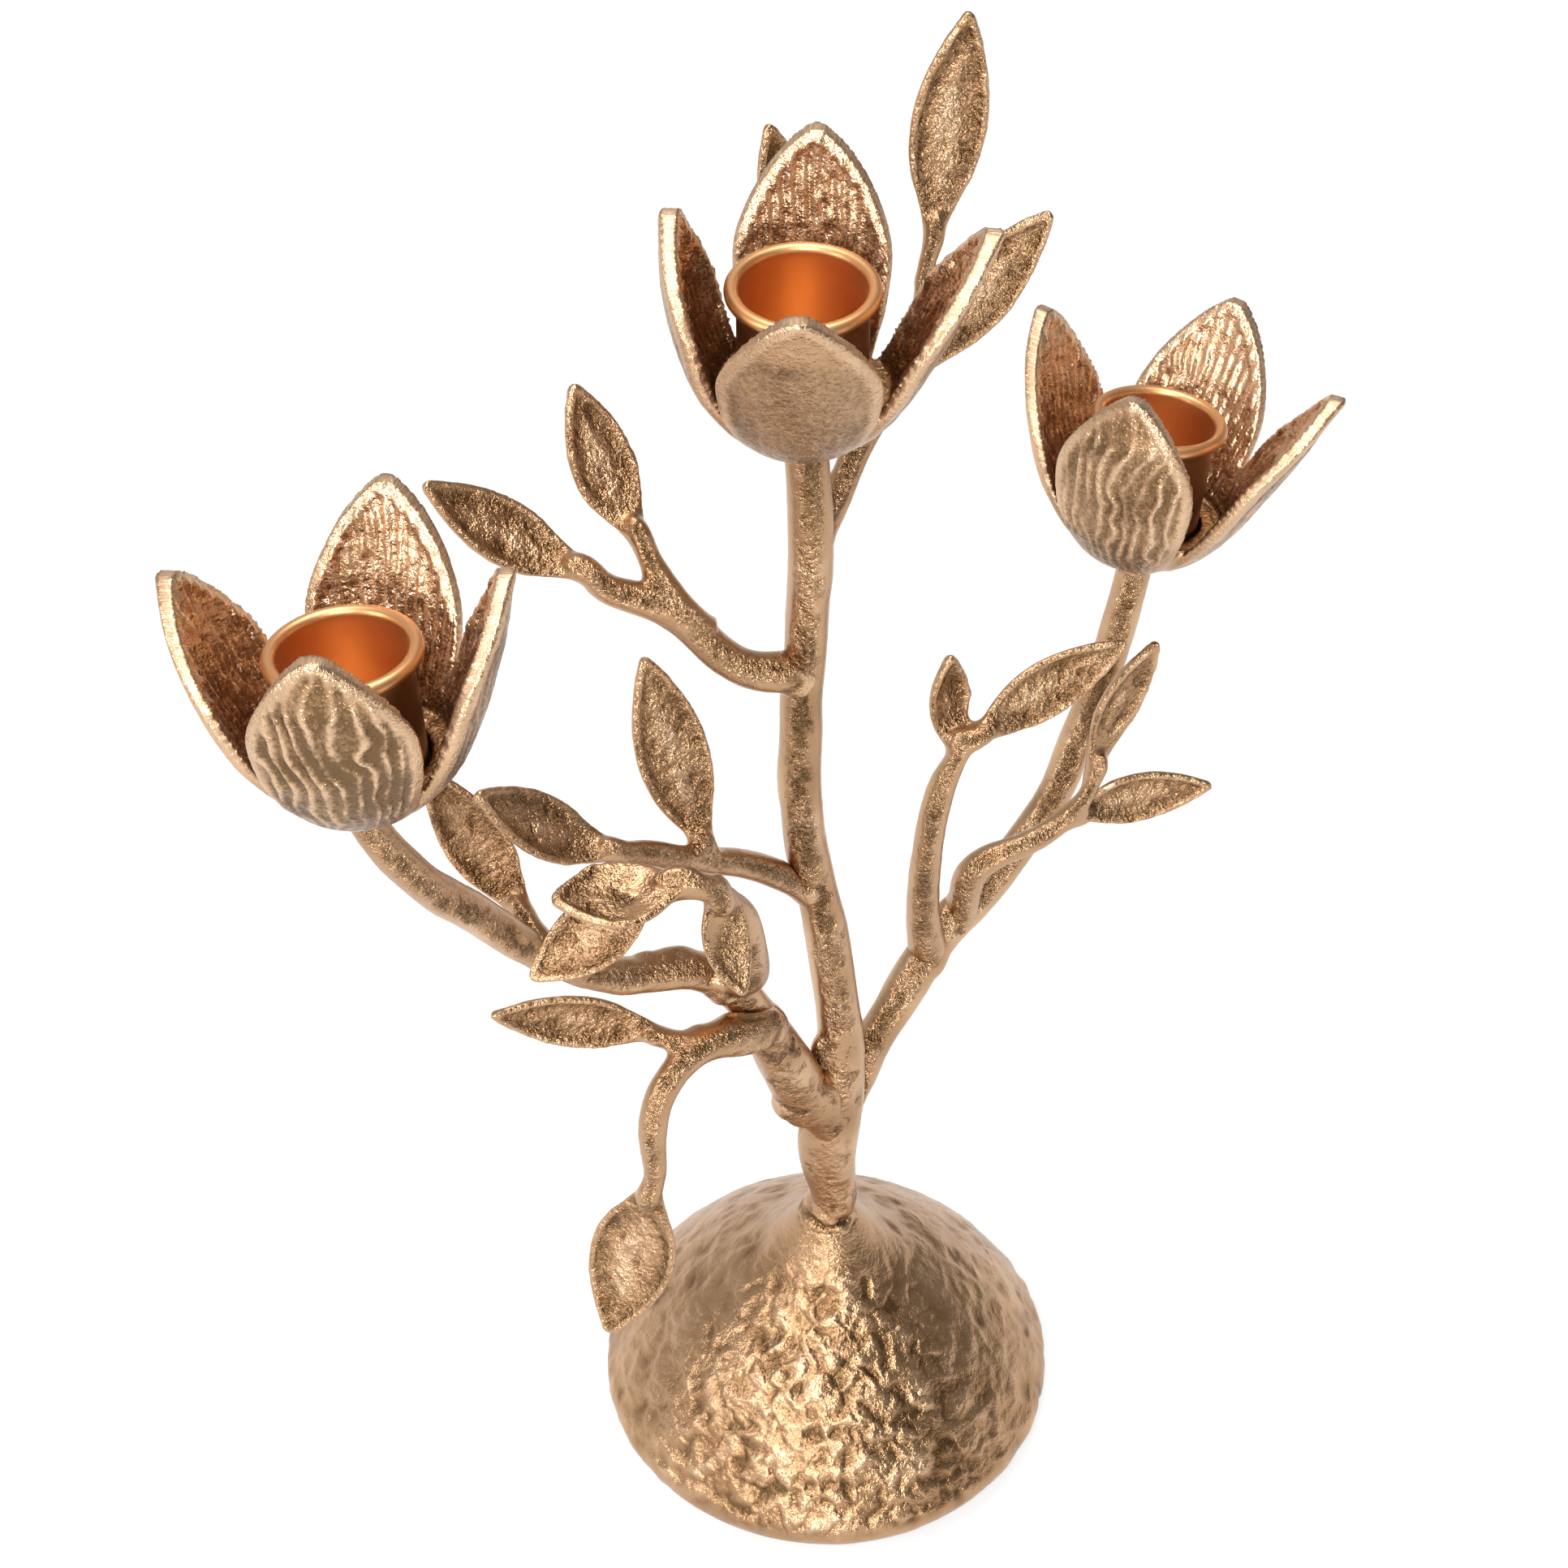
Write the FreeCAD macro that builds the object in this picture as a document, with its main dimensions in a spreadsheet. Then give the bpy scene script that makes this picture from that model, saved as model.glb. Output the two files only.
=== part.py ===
"""Candelabra in the form of a small flowering tree: a domed foot, a cast stem with two boughs, eight
leafy sprays and three four-petalled flowers, each of which holds a spun cup for a tapered candle.

Millimetres, +Z up. The origin is the centre of the felt's underside, so the foot stands on z = 0.
The boughs spread along X: the left one reaches to -X and the right one to +X."""

import FreeCAD, Part
import math
import os

import Sketcher
from FreeCAD import Placement, Rotation, Vector

LENGTHS = {
    # foot
    "pad_thickness": 2.0,
    "pad_inset": 0.8,
    "foot_radius": 48.8,
    "shoulder_radius": 50.6,
    "shoulder_height": 11.0,
    "crown_radius": 26.6,
    "crown_height": 38.0,
    "neck_radius": 6.8,
    "dome_height": 60.0,
    "rim_bulge": 2.2,
    "crown_bulge": 1.6,
    "neck_bulge": 1.8,
    "base_wall": 6.0,
    # bolt that holds the stem on the foot
    "base_screw_radius": 2.5,
    "base_screw_head_radius": 4.4,
    "base_screw_head_height": 3.2,
    "base_screw_grip": 15.0,
    "base_washer_radius": 6.5,
    "base_washer_thickness": 1.2,
    "screw_clearance": 0.15,
    "screw_end_gap": 1.5,
    # stem and boughs
    "stem_height": 221.0,
    "stem_radius": 4.4,
    "left_bough_span": 170.0,
    "left_bough_radius": 4.0,
    "right_bough_span": 130.0,
    "right_bough_radius": 4.0,
    # sprays
    "upper_left_spray_span": 50.0,
    "upper_left_twig_radius": 3.0,
    "mid_left_spray_span": 60.0,
    "mid_left_twig_radius": 2.8,
    "front_spray_span": 65.0,
    "front_twig_radius": 3.3,
    "hanging_spray_span": 60.0,
    "hanging_twig_radius": 3.2,
    "bough_leaf_span": 12.0,
    "bough_leaf_twig_radius": 2.4,
    "right_inner_spray_span": 60.0,
    "right_inner_twig_radius": 3.3,
    "right_outer_spray_span": 50.0,
    "right_outer_twig_radius": 2.8,
    "top_back_spray_span": 40.0,
    "top_back_twig_radius": 2.7,
    # leaves
    "leaf_length": 40.0,
    "leaf_width": 16.0,
    "leaf_thickness": 2.6,
    "leaf_dish": 1.5,
    "leaf_bow": 1.5,
    "leaf_overlap": 3.0,
    # flowers
    "calyx_foot_radius": 9.0,
    "calyx_radius": 15.6,
    "calyx_height": 8.5,
    "calyx_bulge": 1.5,
    "cup_seat_height": 5.0,
    "petal_height": 44.5,
    "petal_width": 27.5,
    "petal_thickness": 2.8,
    # candle cups
    "cup_bore_radius": 11.2,
    "cup_wall": 0.5,
    "cup_height": 26.0,
    "cup_bead": 1.2,
    "cup_clearance": 0.6,
    "cup_dimple_radius": 5.3,
    "cup_dimple_depth": 3.4,
    "cup_screw_radius": 2.0,
    "cup_screw_head_radius": 3.6,
    "cup_screw_head_height": 2.2,
    "cup_screw_grip": 6.0,
    "cup_washer_radius": 5.0,
    "cup_washer_thickness": 0.8,
    "cross_recess_length": 3.8,
    "cross_recess_width": 0.9,
    "cross_recess_depth": 1.2,
    "base_hex_width": 4.0,
    "base_hex_depth": 2.0,
    # how far every cutting tool runs past what it cuts
    "cut_overrun": 3.0,
}

doc = FreeCAD.newDocument("candelabra")
sheet = doc.addObject("Spreadsheet::Sheet", "Sizes")
for row, (alias, length) in enumerate(LENGTHS.items(), start=1):
    sheet.set(f"A{row}", alias)
    sheet.set(f"B{row}", str(length))
    sheet.setAlias(f"B{row}", alias)
doc.recompute()


class Size:
    """A length, as a number and as the expression that keeps it tied to the sheet."""

    def __init__(self, value, text):
        self.value = value
        self.text = text

    def __add__(self, other):
        return Size(self.value + other.value, f"({self.text} + {other.text})")

    def __sub__(self, other):
        return Size(self.value - other.value, f"({self.text} - {other.text})")

    def __mul__(self, other):
        if isinstance(other, Size):
            return Size(self.value * other.value, f"({self.text} * {other.text})")
        return Size(self.value * other, f"({self.text} * {other})")

    def __truediv__(self, other):
        if isinstance(other, Size):
            return Size(self.value / other.value, f"({self.text} / {other.text})")
        return Size(self.value / other, f"({self.text} / {other})")


def size(alias):
    return Size(float(sheet.get(alias)), f"Sizes.{alias}")


NOTHING = Size(0.0, "0")
overrun = size("cut_overrun")


# Revolved and extruded pieces


def new_body(name):
    body = doc.addObject("PartDesign::Body", name)
    body.Label = name
    return body


def new_sketch(body, name, plane):
    """A sketch on one of the body's own origin planes: XY_Plane, XZ_Plane or YZ_Plane."""
    sketch = body.newObject("Sketcher::SketchObject", name)
    support = [f for f in body.Origin.OriginFeatures if f.Role == plane][0]
    sketch.AttachmentSupport = [(support, "")]
    sketch.MapMode = "FlatFace"
    return sketch


def tie(sketch, kind, where, length):
    """Adds a constraint of that kind whose value follows a size."""
    index = sketch.addConstraint(Sketcher.Constraint(kind, *where, length.value))
    sketch.setExpression(f"Constraints[{index}]", length.text)


def arc_through(start, end, bulge):
    """(centre, radius) of the arc that stands out by bulge to the right of the way from start to end."""
    along = end - start
    chord = along.Length
    radius = (chord * chord / 4 + bulge * bulge) / (2 * abs(bulge))
    outward = Vector(along.y, -along.x, 0) / chord * math.copysign(1, bulge)
    return (start + end) / 2 + outward * (abs(bulge) - radius), radius


def angle_of(point, centre):
    return math.atan2(point.y - centre.y, point.x - centre.x)


def outline(sketch, corners, bulges=None):
    """A closed outline through corners, each a pair of sizes. The side that starts at a corner in bulges
    is an arc that stands out by that size, to the right of the way round, or to the left for (size, -1)."""
    bulges = bulges or {}
    spots = [Vector(x.value, y.value, 0) for x, y in corners]
    ends = []
    for i, start in enumerate(spots):
        end = spots[(i + 1) % len(spots)]
        if i not in bulges:
            ends.append((sketch.addGeometry(Part.LineSegment(start, end)), 1, 2))
            continue
        bulge, side = bulges[i]
        centre, radius = arc_through(start, end, bulge.value * side)
        circle = Part.Circle(centre, Vector(0, 0, 1), radius)
        if side > 0:
            arc = Part.ArcOfCircle(circle, angle_of(start, centre), angle_of(end, centre))
            ends.append((sketch.addGeometry(arc), 1, 2))
        else:
            arc = Part.ArcOfCircle(circle, angle_of(end, centre), angle_of(start, centre))
            ends.append((sketch.addGeometry(arc), 2, 1))
    for i, (line, first, last) in enumerate(ends):
        following, its_first, its_last = ends[(i + 1) % len(ends)]
        joint = Sketcher.Constraint("Coincident", line, last, following, its_first)
        sketch.addConstraint(joint)
        for kind, axis, place in (("DistanceX", -2, corners[i][0]), ("DistanceY", -1, corners[i][1])):
            if place.value == 0:
                sketch.addConstraint(Sketcher.Constraint("PointOnObject", line, first, axis))
            elif place.value > 0:
                tie(sketch, kind, (-1, 1, line, first), place)
            else:
                tie(sketch, kind, (line, first, -1, 1), NOTHING - place)
        if i in bulges:
            bulge = bulges[i][0]
            wide = corners[(i + 1) % len(corners)][0] - corners[i][0]
            high = corners[(i + 1) % len(corners)][1] - corners[i][1]
            radius = ((wide * wide + high * high) / 4 + bulge * bulge) / (bulge * 2)
            tie(sketch, "Radius", (line,), radius)


def disc(sketch, radius):
    """A circle about the sketch's origin."""
    line = sketch.addGeometry(Part.Circle(Vector(), Vector(0, 0, 1), radius.value))
    sketch.addConstraint(Sketcher.Constraint("Coincident", line, 3, -1, 1))
    tie(sketch, "Radius", (line,), radius)


def cross(sketch, length, width):
    """A cross of two equal bars about the sketch's origin."""
    far, near = length / 2, width / 2
    corners = [(far, near), (near, near), (near, far)]
    for _ in range(3):
        corners += [(NOTHING - y, x) for x, y in corners[-3:]]
    outline(sketch, corners)


def hexagon(sketch, across):
    """A regular hexagon of that width across its flats, about the sketch's origin."""
    half = across / 2
    low = half / math.sqrt(3)
    tip = low * 2
    right = [(low, NOTHING - half), (tip, NOTHING), (low, half)]
    left = [(NOTHING - x, NOTHING - y) for x, y in right]
    outline(sketch, right + left)


def revolve(body, sketch, hollow=False):
    """Turns the sketch's outline about the body's Z axis, as a solid or as a cut."""
    turned = body.newObject("PartDesign::Groove" if hollow else "PartDesign::Revolution", sketch.Name + "_turn")
    turned.Profile = sketch
    turned.ReferenceAxis = (sketch, ["V_Axis"])
    turned.Angle = 360
    return turned


def pocket(body, sketch, depth, upward=False):
    """Cuts the sketch's outline down into the body by depth, or up into it."""
    sunk = body.newObject("PartDesign::Pocket", sketch.Name + "_cut")
    sunk.Profile = sketch
    sunk.setExpression("Length", depth.text)
    sunk.Reversed = upward
    return sunk


def raise_sketch(sketch, height):
    sketch.setExpression("AttachmentOffset.Base.z", height.text)


def drill(name, radius, depth, placement):
    """A cylinder that cuts a hole of that depth along the placement's own -Z, past its mouth by the overrun."""
    length = depth + overrun
    tool = doc.addObject("Part::Cylinder", name)
    tool.setExpression("Radius", radius.text)
    tool.setExpression("Height", length.text)
    tool.Placement = placement.multiply(Placement(Vector(0, 0, -depth.value), Rotation()))
    return tool


def cut(name, base, tool):
    result = doc.addObject("Part::Cut", name)
    result.Base = base
    result.Tool = tool
    return result


def fuse(name, pieces):
    if len(pieces) == 1:
        return pieces[0]
    result = doc.addObject("Part::MultiFuse", name)
    result.Shapes = pieces
    return result


# Foot: felt pad, hollow dome, bolt and washer

pad_top = size("pad_thickness")
dome_top = size("dome_height")
wall = size("base_wall")
ceiling = size("crown_height") - wall
bolt_hole = size("base_screw_radius") + size("screw_clearance")


def make_felt_pad():
    body = new_body("felt_pad")
    sketch = new_sketch(body, "felt_pad_outline", "XY_Plane")
    disc(sketch, size("foot_radius") - size("pad_inset"))
    pad = body.newObject("PartDesign::Pad", "felt_pad_sheet")
    pad.Profile = sketch
    pad.setExpression("Length", pad_top.text)
    return body


def make_base_dome():
    """The dome swells a little above its rim, then runs up into a neck that carries the stem."""
    body = new_body("base_dome")
    outer = new_sketch(body, "dome_outline", "XZ_Plane")
    shoulder = (size("shoulder_radius"), size("shoulder_height"))
    crown = (size("crown_radius"), size("crown_height"))
    corners = [(NOTHING, pad_top), (size("foot_radius"), pad_top), shoulder, crown]
    corners += [(size("neck_radius"), dome_top), (NOTHING, dome_top)]
    rounds = {1: (size("rim_bulge"), 1), 2: (size("crown_bulge"), 1), 3: (size("neck_bulge"), -1)}
    outline(outer, corners, rounds)
    revolve(body, outer)
    hollow = new_sketch(body, "dome_hollow", "XZ_Plane")
    corners = [(NOTHING, pad_top), (size("foot_radius") - wall, pad_top)]
    corners += [(shoulder[0] - wall, shoulder[1]), (crown[0] - wall, ceiling), (NOTHING, ceiling)]
    outline(hollow, corners, {2: (size("crown_bulge"), 1)})
    revolve(body, hollow, hollow=True)
    hole = new_sketch(body, "dome_bolt_hole", "XY_Plane")
    raise_sketch(hole, dome_top)
    disc(hole, bolt_hole)
    pocket(body, hole, dome_top - ceiling + overrun)
    return body


SCREW_CROWN_SHARE = 0.125


def make_screw(name, shank, shank_radius, head_radius, head_height, placement, recess, recess_depth):
    """A screw with its tip at its own origin and its head at the top, where recess draws the socket."""
    body = new_body(name)
    profile = new_sketch(body, name + "_outline", "XZ_Plane")
    brim = shank + head_height / 2
    top = shank + head_height
    corners = [(NOTHING, NOTHING), (shank_radius, NOTHING), (shank_radius, shank), (head_radius, shank)]
    corners += [(head_radius, brim), (NOTHING, top)]
    outline(profile, corners, {4: (head_height * SCREW_CROWN_SHARE, 1)})
    revolve(body, profile)
    socket = new_sketch(body, name + "_socket", "XY_Plane")
    raise_sketch(socket, top + overrun)
    recess(socket)
    pocket(body, socket, recess_depth + overrun)
    body.Placement = placement
    return body


def make_washer(name, radius, hole, thickness, placement):
    body = new_body(name)
    ring = new_sketch(body, name + "_outline", "XY_Plane")
    disc(ring, radius)
    disc(ring, hole)
    pad = body.newObject("PartDesign::Pad", name + "_ring")
    pad.Profile = ring
    pad.setExpression("Length", thickness.text)
    body.Placement = placement
    return body


def make_base_screw():
    """The bolt stands in the dome with its head down, on its washer, and its tip in the stem."""
    grip = size("base_screw_grip")
    washer = size("base_washer_thickness")
    shank = washer + (dome_top - ceiling) + grip
    tip = dome_top + grip
    place = Placement(Vector(0, 0, tip.value), Rotation(Vector(1, 0, 0), 180))
    radius = size("base_screw_radius")
    head = (size("base_screw_head_radius"), size("base_screw_head_height"))

    def hex_recess(sketch):
        hexagon(sketch, size("base_hex_width"))

    return make_screw("base_screw", shank, radius, *head, place, hex_recess, size("base_hex_depth"))


def make_base_washer():
    thickness = size("base_washer_thickness")
    place = Placement(Vector(0, 0, (ceiling - thickness).value), Rotation())
    return make_washer("base_washer", size("base_washer_radius"), bolt_hole, thickness, place)


# Limbs: round castings that run along a route

UP = Vector(0, 0, 1)


def route(root, span, shares):
    """The places that shares of a span give, counted from the root."""
    return [root + Vector(*share) * span.value for share in shares]


def along(places, share):
    """The place at that share of the way along a route."""
    steps = [b - a for a, b in zip(places, places[1:])]
    left = sum(step.Length for step in steps) * share
    for place, step in zip(places, steps):
        if left <= step.Length:
            return place + step * (left / step.Length)
        left -= step.Length
    return places[-1]


def heading(places, i):
    """The way that a route runs at its place i."""
    before = places[max(i - 1, 0)]
    after = places[min(i + 1, len(places) - 1)]
    return (after - before).normalize()


def limb(name, places, radius, girth_shares, end_axis=None):
    """A loft through circles set square to the route. end_axis sets the last one square to itself."""
    rings = []
    ahead, turn = UP, Rotation()
    for i, (place, share) in enumerate(zip(places, girth_shares, strict=True)):
        last = i == len(places) - 1
        towards = end_axis if end_axis and last else heading(places, i)
        turn = Rotation(ahead, towards).multiply(turn)
        ahead = towards
        ring = doc.addObject("Part::Circle", f"{name}_ring_{i}")
        ring.setExpression("Radius", (radius * share).text)
        ring.Placement = Placement(place, turn)
        rings.append(ring)
    loft = doc.addObject("Part::Loft", name)
    loft.Sections = rings
    loft.Solid = True
    loft.Ruled = False
    return loft


# Leaves

LEAF_STATION_SHARES = [
    # along the leaf, half width
    (0.00, 0.20),
    (0.12, 0.34),
    (0.28, 0.74),
    (0.46, 0.99),
    (0.62, 0.96),
    (0.80, 0.68),
    (0.93, 0.34),
    (1.00, 0.12),
]
LEAF_EDGE_SHARE = 0.7
# what makes run * (1 - run) reach one at mid-run
BOW_PEAK_FACTOR = 4


def crescent(place, half_width, face_low, back_low, edge):
    """A wire across a leaf or petal: two arcs through half_width on either side, joined by short edges.
    place maps (across, normal) to a point. The face dips by face_low and the back by back_low."""
    left, right = place(-half_width, 0), place(half_width, 0)
    low_left, low_right = place(-half_width, -edge), place(half_width, -edge)
    face = Part.Arc(left, place(0, -face_low), right).toShape()
    side = Part.makeLine(right, low_right)
    back = Part.Arc(low_right, place(0, -back_low), low_left).toShape()
    other = Part.makeLine(low_left, left)
    return Part.Wire([face, side, back, other])


def leaf(name, base, direction, face, length_share, width_share):
    """A thick cast leaf. It runs from base along direction and its dished face looks towards face."""
    length = size("leaf_length").value * length_share
    half = size("leaf_width").value * width_share / 2
    thick = size("leaf_thickness").value
    dish = size("leaf_dish").value
    bow = size("leaf_bow").value
    ahead = Vector(*direction).normalize()
    normal = Vector(*face)
    normal = (normal - ahead * normal.dot(ahead)).normalize()
    across = normal.cross(ahead)
    start = base - ahead * size("leaf_overlap").value
    reach = length + size("leaf_overlap").value
    wires = []
    for run, wide in LEAF_STATION_SHARES:
        middle = start + ahead * reach * run - normal * bow * BOW_PEAK_FACTOR * run * (1 - run)

        def place(x, z, middle=middle):
            return middle + across * x + normal * z

        low = dish * wide
        wires.append(crescent(place, half * wide, low, low + thick, thick * LEAF_EDGE_SHARE))
    piece = doc.addObject("Part::Feature", name)
    piece.Shape = Part.makeLoft(wires, True, False)
    return piece


def spray(name, carrier, root, span, radius, route_shares, girth_shares, branches, leaves):
    """A twig with its side branches and leaves, cast in one piece and welded on the carrier's surface.
    branches are (route shares, girth shares), and leaves are (where, direction, face, length, width):
    where is in shares of the span too, and the last two are shares of the pattern leaf."""
    pieces = [limb(name + "_twig", route(root, span, route_shares), radius, girth_shares)]
    for i, (shares, girths) in enumerate(branches):
        pieces.append(limb(f"{name}_branch_{i}", route(root, span, shares), radius, girths))
    for i, (where, direction, face, long, wide) in enumerate(leaves):
        base = route(root, span, [where])[0]
        pieces.append(leaf(f"{name}_leaf_{i}", base, direction, face, long, wide))
    return cut(name, fuse(name + "_casting", pieces), carrier)


# Upright and boughs. Routes and girths are shares of each limb's span and radius.

STEM_ROUTE_SHARES = [
    (0.000, 0.000, 0.000),
    (0.000, 0.000, 0.068),
    (0.001, 0.000, 0.140),
    (0.007, -0.005, 0.204),
    (0.007, -0.005, 0.285),
    (0.000, 0.000, 0.367),
    (-0.010, 0.008, 0.457),
    (-0.019, 0.015, 0.516),
    (-0.025, 0.018, 0.606),
    (-0.024, 0.018, 0.688),
    (-0.021, 0.016, 0.760),
    (-0.018, 0.014, 0.851),
    (-0.019, 0.014, 0.923),
    (-0.024, 0.018, 1.000),
]
STEM_GIRTH_SHARES = [1.18, 1.36, 1.50, 1.30, 1.06, 1.03, 1.00, 1.00, 0.98, 0.96, 0.96, 0.95, 0.93, 0.91]

LEFT_BOUGH_ROOT_SHARE = 0.174
LEFT_BOUGH_ROUTE_SHARES = [
    (-0.040, 0.008, 0.002),
    (-0.056, 0.004, 0.066),
    (-0.079, 0.002, 0.126),
    (-0.112, -0.004, 0.207),
    (-0.153, -0.011, 0.300),
    (-0.188, -0.012, 0.356),
    (-0.229, -0.011, 0.397),
    (-0.276, -0.004, 0.415),
    (-0.326, 0.002, 0.438),
    (-0.382, 0.007, 0.491),
    (-0.441, 0.008, 0.562),
    (-0.499, 0.003, 0.650),
    (-0.546, -0.004, 0.715),
    (-0.580, -0.005, 0.775),
    (-0.604, 0.006, 0.829),
    (-0.603, 0.012, 0.876),
]
LEFT_BOUGH_GIRTH_SHARES = [
    1.42, 1.52, 1.45, 1.20, 1.05, 1.05, 0.98, 0.93, 0.93, 0.90, 0.90, 0.90, 0.90, 0.90, 0.88, 0.88
]
LEFT_FLOWER_AXIS = (0.018, 0.130, 0.991)

RIGHT_BOUGH_ROOT_SHARE = 0.158
RIGHT_BOUGH_ROUTE_SHARES = [
    (0.015, -0.005, 0.008),
    (0.045, 0.003, 0.054),
    (0.080, -0.001, 0.115),
    (0.118, -0.001, 0.165),
    (0.170, 0.006, 0.215),
    (0.234, 0.015, 0.269),
    (0.311, 0.015, 0.308),
    (0.395, 0.018, 0.369),
    (0.472, 0.021, 0.446),
    (0.526, 0.026, 0.554),
    (0.575, 0.028, 0.677),
    (0.593, 0.026, 0.765),
    (0.608, 0.025, 0.832),
    (0.613, 0.031, 0.893),
]
RIGHT_BOUGH_GIRTH_SHARES = [1.20, 1.25, 1.10, 1.05, 1.10, 1.10, 1.00, 0.95, 0.92, 0.92, 0.92, 0.92, 0.90, 0.90]
RIGHT_FLOWER_AXIS = (0.175, 0.049, 0.984)


def lifted(frame, height):
    """The frame moved along its own Z."""
    return frame.multiply(Placement(Vector(0, 0, height.value), Rotation()))


def bough(name, carrier, root, span, radius, route_shares, girth_shares, axis):
    """A bough welded on the stem, with a blind screw hole in its end. Returns the cut body, the raw
    casting, its route and the frame of its end."""
    places = route(root, span, route_shares)
    casting = limb(name + "_casting", places, radius, girth_shares, Vector(*axis))
    frame = Placement(places[-1], Rotation(UP, Vector(*axis)))
    welded = cut(name + "_welded", casting, carrier) if carrier else casting
    tool = drill(name + "_hole", cup_hole, cup_grip + size("screw_end_gap"), frame)
    return cut(name, welded, tool), casting, places, frame


cup_grip = size("cup_screw_grip")
cup_hole = size("cup_screw_radius") + size("screw_clearance")
dimple = size("cup_dimple_radius")
well_floor = size("cup_seat_height") - size("cup_dimple_depth")


# Flowers: a calyx and four petals, cast in one piece

PETAL_STATION_SHARES = [
    # radius of the face's middle, height, half width, dip of the face between its edges
    (0.320, 0.02, 0.51, 0.073),
    (0.555, 0.18, 0.84, 0.140),
    (0.720, 0.38, 0.98, 0.138),
    (0.845, 0.58, 1.00, 0.135),
    (0.930, 0.74, 0.81, 0.084),
    (0.990, 0.89, 0.49, 0.031),
    (1.025, 1.00, 0.10, 0.002),
]
PETALS = {
    # angle about the flower's axis, share of the petal's width that its tip leans outward
    "top": [(48, -0.03), (139, -0.24), (-45, 0.11), (-129, 0.02)],
    "left": [(42, 0.08), (135, -0.05), (-38, -0.01), (-128, -0.22)],
    "right": [(22, 0.08), (111, -0.02), (-57, 0.15), (-152, -0.27)],
}
PETAL_EDGE_SHARE = 0.75
CUP_RECESS = size("cup_bore_radius") + size("cup_wall") + size("cup_clearance")


def petal(name, frame, angle, lean):
    """One petal, at that angle about the flower's axis, which it wraps around."""
    tall = size("petal_height").value
    wide = size("petal_width").value
    thick = size("petal_thickness").value
    outward = Vector(1, 0, 0)
    across = Vector(0, 1, 0)
    turn = Placement(Vector(), Rotation(UP, angle))
    wires = []
    for away, height, half, dip in PETAL_STATION_SHARES:
        low = dip * wide
        middle = outward * ((away + lean * height * height) * wide - low) + UP * height * tall

        def place(x, z, middle=middle):
            return frame.multVec(turn.multVec(middle + across * x - outward * z))

        wires.append(crescent(place, half * wide / 2, low, low + thick, thick * PETAL_EDGE_SHARE))
    piece = doc.addObject("Part::Feature", name)
    piece.Shape = Part.makeLoft(wires, True, False)
    return piece


def make_flower(name, frame, leaning):
    """A flower that stands on a limb's end, with a recess for its cup and a hole for the cup's screw."""
    calyx = new_body(name + "_calyx")
    profile = new_sketch(calyx, name + "_calyx_outline", "XZ_Plane")
    seat = size("cup_seat_height")
    top = size("calyx_height")
    brim = (size("calyx_radius"), top)
    corners = [(NOTHING, NOTHING), (size("calyx_foot_radius"), NOTHING), brim]
    well = dimple + size("cup_wall") + size("cup_clearance")
    corners += [(CUP_RECESS, top), (CUP_RECESS, seat), (well, seat), (well, well_floor), (NOTHING, well_floor)]
    outline(profile, corners, {1: (size("calyx_bulge"), 1)})
    revolve(calyx, profile)
    calyx.Placement = frame
    petals = [petal(f"{name}_petal_{i}", frame, *turned) for i, turned in enumerate(leaning)]
    bloom = fuse(name + "_bloom", [calyx] + petals)
    tool = drill(name + "_hole", cup_hole, well_floor + overrun, lifted(frame, well_floor))
    return cut(name, bloom, tool)


# Candle cups with their screws and washers

# where the rolled rim starts and ends below the cup's top, and how far it stands out, in beads
BEAD_FOOT_SHARE = 1.7
BEAD_LIP_SHARE = 0.9
BEAD_BULGE_SHARE = 1.9


def make_cup(name, frame):
    """A spun cup with a rolled rim. Its floor lies in the calyx's recess, and a dimple in the floor takes
    the screw's head, which leaves the bore clear."""
    body = new_body(name)
    profile = new_sketch(body, name + "_outline", "XZ_Plane")
    bore = size("cup_bore_radius")
    skin = size("cup_wall")
    tall = size("cup_height")
    bead = size("cup_bead")
    bottom = NOTHING - size("cup_dimple_depth")
    corners = [(cup_hole, bottom), (dimple + skin, bottom), (dimple + skin, NOTHING), (bore + skin, NOTHING)]
    corners += [(bore + skin, tall - bead * BEAD_FOOT_SHARE), (bore, tall - bead * BEAD_LIP_SHARE), (bore, skin)]
    corners += [(dimple, skin), (dimple, bottom + skin), (cup_hole, bottom + skin)]
    outline(profile, corners, {4: (bead * BEAD_BULGE_SHARE, 1)})
    revolve(body, profile)
    body.Placement = lifted(frame, size("cup_seat_height"))
    return body


def make_cup_washer(name, frame):
    thickness = size("cup_washer_thickness")
    place = lifted(frame, well_floor + size("cup_wall"))
    return make_washer(name, size("cup_washer_radius"), cup_hole, thickness, place)


def make_cup_screw(name, frame):
    """A screw through the washer, the cup's floor and the calyx into the limb's end."""
    shank = cup_grip + well_floor + size("cup_wall") + size("cup_washer_thickness")
    place = lifted(frame, NOTHING - cup_grip)
    head = (size("cup_screw_head_radius"), size("cup_screw_head_height"))

    def cross_recess(sketch):
        cross(sketch, size("cross_recess_length"), size("cross_recess_width"))

    return make_screw(
        name, shank, size("cup_screw_radius"), *head, place, cross_recess, size("cross_recess_depth")
    )


def alike(name, make, frames):
    """Identical pieces, one at each frame, as one sub-part."""
    group = doc.addObject("Part::Compound", name)
    group.Links = [make(f"{name}_{i}", frame) for i, frame in enumerate(frames)]
    return group


# Sprays. A leaf is (where, direction, way its face looks, length, width) in shares.

# The dished faces look to the front, or are turned from there by shares of two other ways.
FRONT = Vector(-0.44, -0.58, 0.69)
ASIDE = Vector(0.80, -0.60, 0.00)
UPWARD = Vector(0.41, 0.55, 0.73)


def turned(aside, upward):
    return FRONT + ASIDE * aside + UPWARD * upward


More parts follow.
